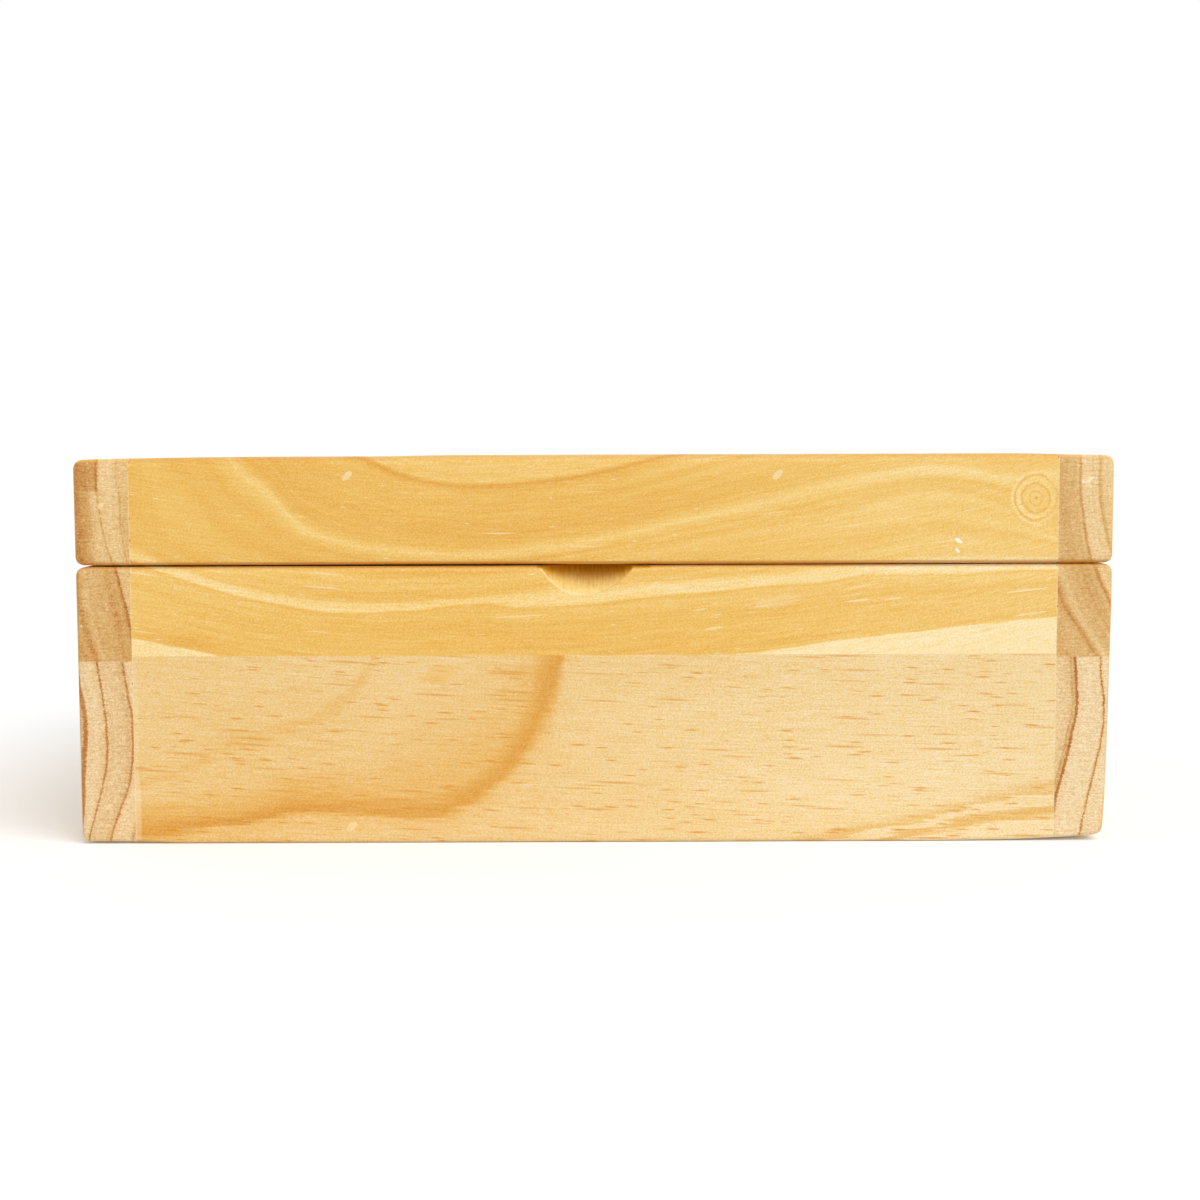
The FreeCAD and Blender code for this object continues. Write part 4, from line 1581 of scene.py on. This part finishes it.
# %% Model the pin
PIN_RADIUS = 1.25
HEAD_RADIUS = 1.65
HEAD_SIDE, HEAD_EDGE, HEAD_CROWN = 0.4, 0.28, 0.12
HEAD_TAPER = 0.8
HEAD_ROUND = 0.8


def hinge_pin(name):
    """A pin along x with a peened head at each end."""
    deselect()
    bpy.ops.mesh.primitive_cylinder_add(
        vertices=32, radius=PIN_RADIUS * MM, depth=plate_length * MM,
        location=mm(0, pin_y, pin_z), rotation=(0, math.radians(90), 0),
    )
    piece = start_piece(name)
    middle = mm(0, pin_y, pin_z)
    wider = HEAD_RADIUS / PIN_RADIUS
    for way in (-1, 1):
        select_faces(piece, lambda centre, normal: normal.x * way > SQUARE_ON)
        bpy.ops.mesh.extrude_region_move()
        bpy.ops.transform.resize(value=(1, wider, wider), center_override=middle)
        for height in (HEAD_SIDE, HEAD_EDGE):
            extrude(way * height, 0, 0)
        bpy.ops.transform.resize(value=(1, HEAD_TAPER, HEAD_TAPER), center_override=middle)
        bpy.ops.mesh.inset(thickness=HEAD_ROUND * MM, depth=HEAD_CROWN * MM)
    close_mesh()
    return piece


pin = hinge_pin("pin_pattern")
print("a pin of", len(pin.data.polygons), "faces")

# %% Model the screws
SCREW_HEAD, SCREW_SHANK = 2.65, 1.3
SCREW_RIM = 0.35
SCREW_SINK = 0.05
SCREW_LENGTH = 11.0
SLOT_LENGTH, SLOT_WIDTH, SLOT_DEPTH = 3.0, 0.7, 0.9
SLOT_TURNS = (35, 125)


def wood_screw(name, x, way):
    """A countersunk cross-recess screw in a plate, its shank in the wood."""
    deselect()
    z = pin_z + way * SCREW_REACH
    bpy.ops.mesh.primitive_cone_add(
        vertices=40, radius1=SCREW_SHANK * MM, radius2=SCREW_HEAD * MM,
        depth=(PLATE_THICKNESS - SCREW_SINK) * MM, rotation=(math.radians(-90), 0, 0),
        location=mm(x, back + PLATE_THICKNESS / 2, z),
    )
    piece = start_piece(name)
    select_faces(piece, lambda centre, normal: normal.y > SQUARE_ON)
    bpy.ops.mesh.inset(thickness=SCREW_RIM * MM, depth=0.0)
    select_faces(piece, lambda centre, normal: normal.y < -SQUARE_ON)
    extrude(0, -SCREW_LENGTH, 0)
    close_mesh()
    for turn in SLOT_TURNS:
        deselect()
        bpy.ops.mesh.primitive_cube_add(
            size=1, location=mm(x, back + PLATE_THICKNESS, z),
            rotation=(0, math.radians(turn), 0), scale=mm(SLOT_LENGTH, 2 * SLOT_DEPTH, SLOT_WIDTH),
        )
        carve(piece, bpy.context.object, "recess")
    return piece


def screw_pair(name, way):
    pick(*[wood_screw(name, x, way) for x in (-SCREW_X, SCREW_X)])
    bpy.ops.object.join()
    return bpy.context.object


body_screws = screw_pair("body_screws_pattern", -1)
lid_screws = screw_pair("lid_screws_pattern", 1)
print("two pairs of screws,", len(body_screws.data.polygons), "faces each")

# %% Hang the hinges
BRASS_SMOOTHING = 35.0
hinge_patterns = {
    "body_leaf": (body_leaf, "box_body", hinge_brass, "hinge_brass"),
    "lid_leaf": (lid_leaf, "lid", hinge_brass, "hinge_brass"),
    "pin": (pin, "box_body", hinge_brass, "hinge_brass"),
    "body_screws": (body_screws, "box_body", screw_brass, "screw_brass"),
    "lid_screws": (lid_screws, "lid", screw_brass, "screw_brass"),
}
for part, (pattern, body, brass, slot) in hinge_patterns.items():
    for side, x in hinge_x.items():
        piece = duplicate(pattern, f"{side}_{part}_brass")
        piece.location.x = x * MM
        bpy.ops.object.transform_apply(location=True, rotation=False, scale=False)
        bpy.ops.object.shade_smooth_by_angle(angle=math.radians(BRASS_SMOOTHING))
        coat(piece, brass)
        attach(piece, body)
        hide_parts(f"{side}_hinge_{part}")
remove(*[pattern for pattern, *_ in hinge_patterns.values()])
print("two hinges hang at", [round(x, 1) for x in hinge_x.values()])

# %% [markdown]
# ## Floor, light and camera
#
# A pale floor and an even white sky stand in for a studio. The sky and the floor give soft light
# from everywhere, and one wide sun from the upper right gives the form. Together they light a
# surface so that it shows about the colour it was given.

# %% Floor
FLOOR_SIZE = 80.0
FLOOR_GLOW = 0.14
deselect()
bpy.ops.mesh.primitive_plane_add(size=FLOOR_SIZE)
floor = bpy.context.object
floor.name = "floor"
floor_paper = start_material("floor_paper")
unevenness = cloud(position(), [400.0] * 3, 1.0)
floor_colour = shaded(paint(252, 252, 252), unevenness * 0.01 + 1.0)
seen_directly = Wire(Wire.node("LightPath").socket.node.outputs["Is Camera Ray"])
finish_material(
    floor_paper, floor_colour, 0.95, unevenness, 0.01, Specular_IOR_Level=0.0,
    Emission_Color=seen_directly * FLOOR_GLOW, Emission_Strength=1.0,
)
floor.data.materials.append(floor_paper)
print("a floor of", FLOOR_SIZE, "m")

# %% Light
SKY_STRENGTH = 0.5
KEY_STRENGTH = 1.76
KEY_HEIGHT = 50.0
KEY_SIDE = 36.0
KEY_SOFTNESS = 50.0
KEY_PLACE = (0.6, -0.8, 1.2)

world = bpy.data.worlds.new("studio")
bpy.context.scene.world = world
world.use_nodes = True
world.node_tree.nodes.clear()
Wire.tree = world.node_tree
rays = Wire.node("LightPath").socket.node.outputs
seen = Wire(rays["Is Camera Ray"]) + Wire(rays["Is Glossy Ray"]) + Wire(rays["Is Transmission Ray"])
strength = seen.clamp() * (1.0 - SKY_STRENGTH) + SKY_STRENGTH
sky = Wire.node("Background", None, {"Color": (1, 1, 1, 1), "Strength": strength})
sky_output = world.node_tree.nodes.new("ShaderNodeOutputWorld")
world.node_tree.links.new(sky.socket, sky_output.inputs["Surface"])

deselect()
bpy.ops.object.light_add(type="SUN", location=KEY_PLACE)
key = bpy.context.object
key.name = "key_light"
key.rotation_euler = (math.radians(90 - KEY_HEIGHT), 0, math.radians(KEY_SIDE))
key.data.energy = KEY_STRENGTH
key.data.angle = math.radians(KEY_SOFTNESS)
print("sky and sun at", SKY_STRENGTH, "and", KEY_STRENGTH)

# %% Camera
CAMERA_BACK = 516.0
CAMERA_HEIGHT = 112.7
CAMERA_SIDE = 1.9
CAMERA_PITCH = 4.6
CAMERA_ROLL = 0.2
CAMERA_LENS = 53.7

deselect()
bpy.ops.object.camera_add(
    location=mm(CAMERA_SIDE, front - CAMERA_BACK, CAMERA_HEIGHT),
    rotation=(math.radians(90 - CAMERA_PITCH), math.radians(CAMERA_ROLL), 0),
)
camera = bpy.context.object
camera.data.lens = CAMERA_LENS
camera.data.clip_start = 0.01
bpy.context.scene.camera = camera
bpy.context.scene.view_settings.view_transform = "Standard"
print("camera", tuple(round(c, 3) for c in camera.location))
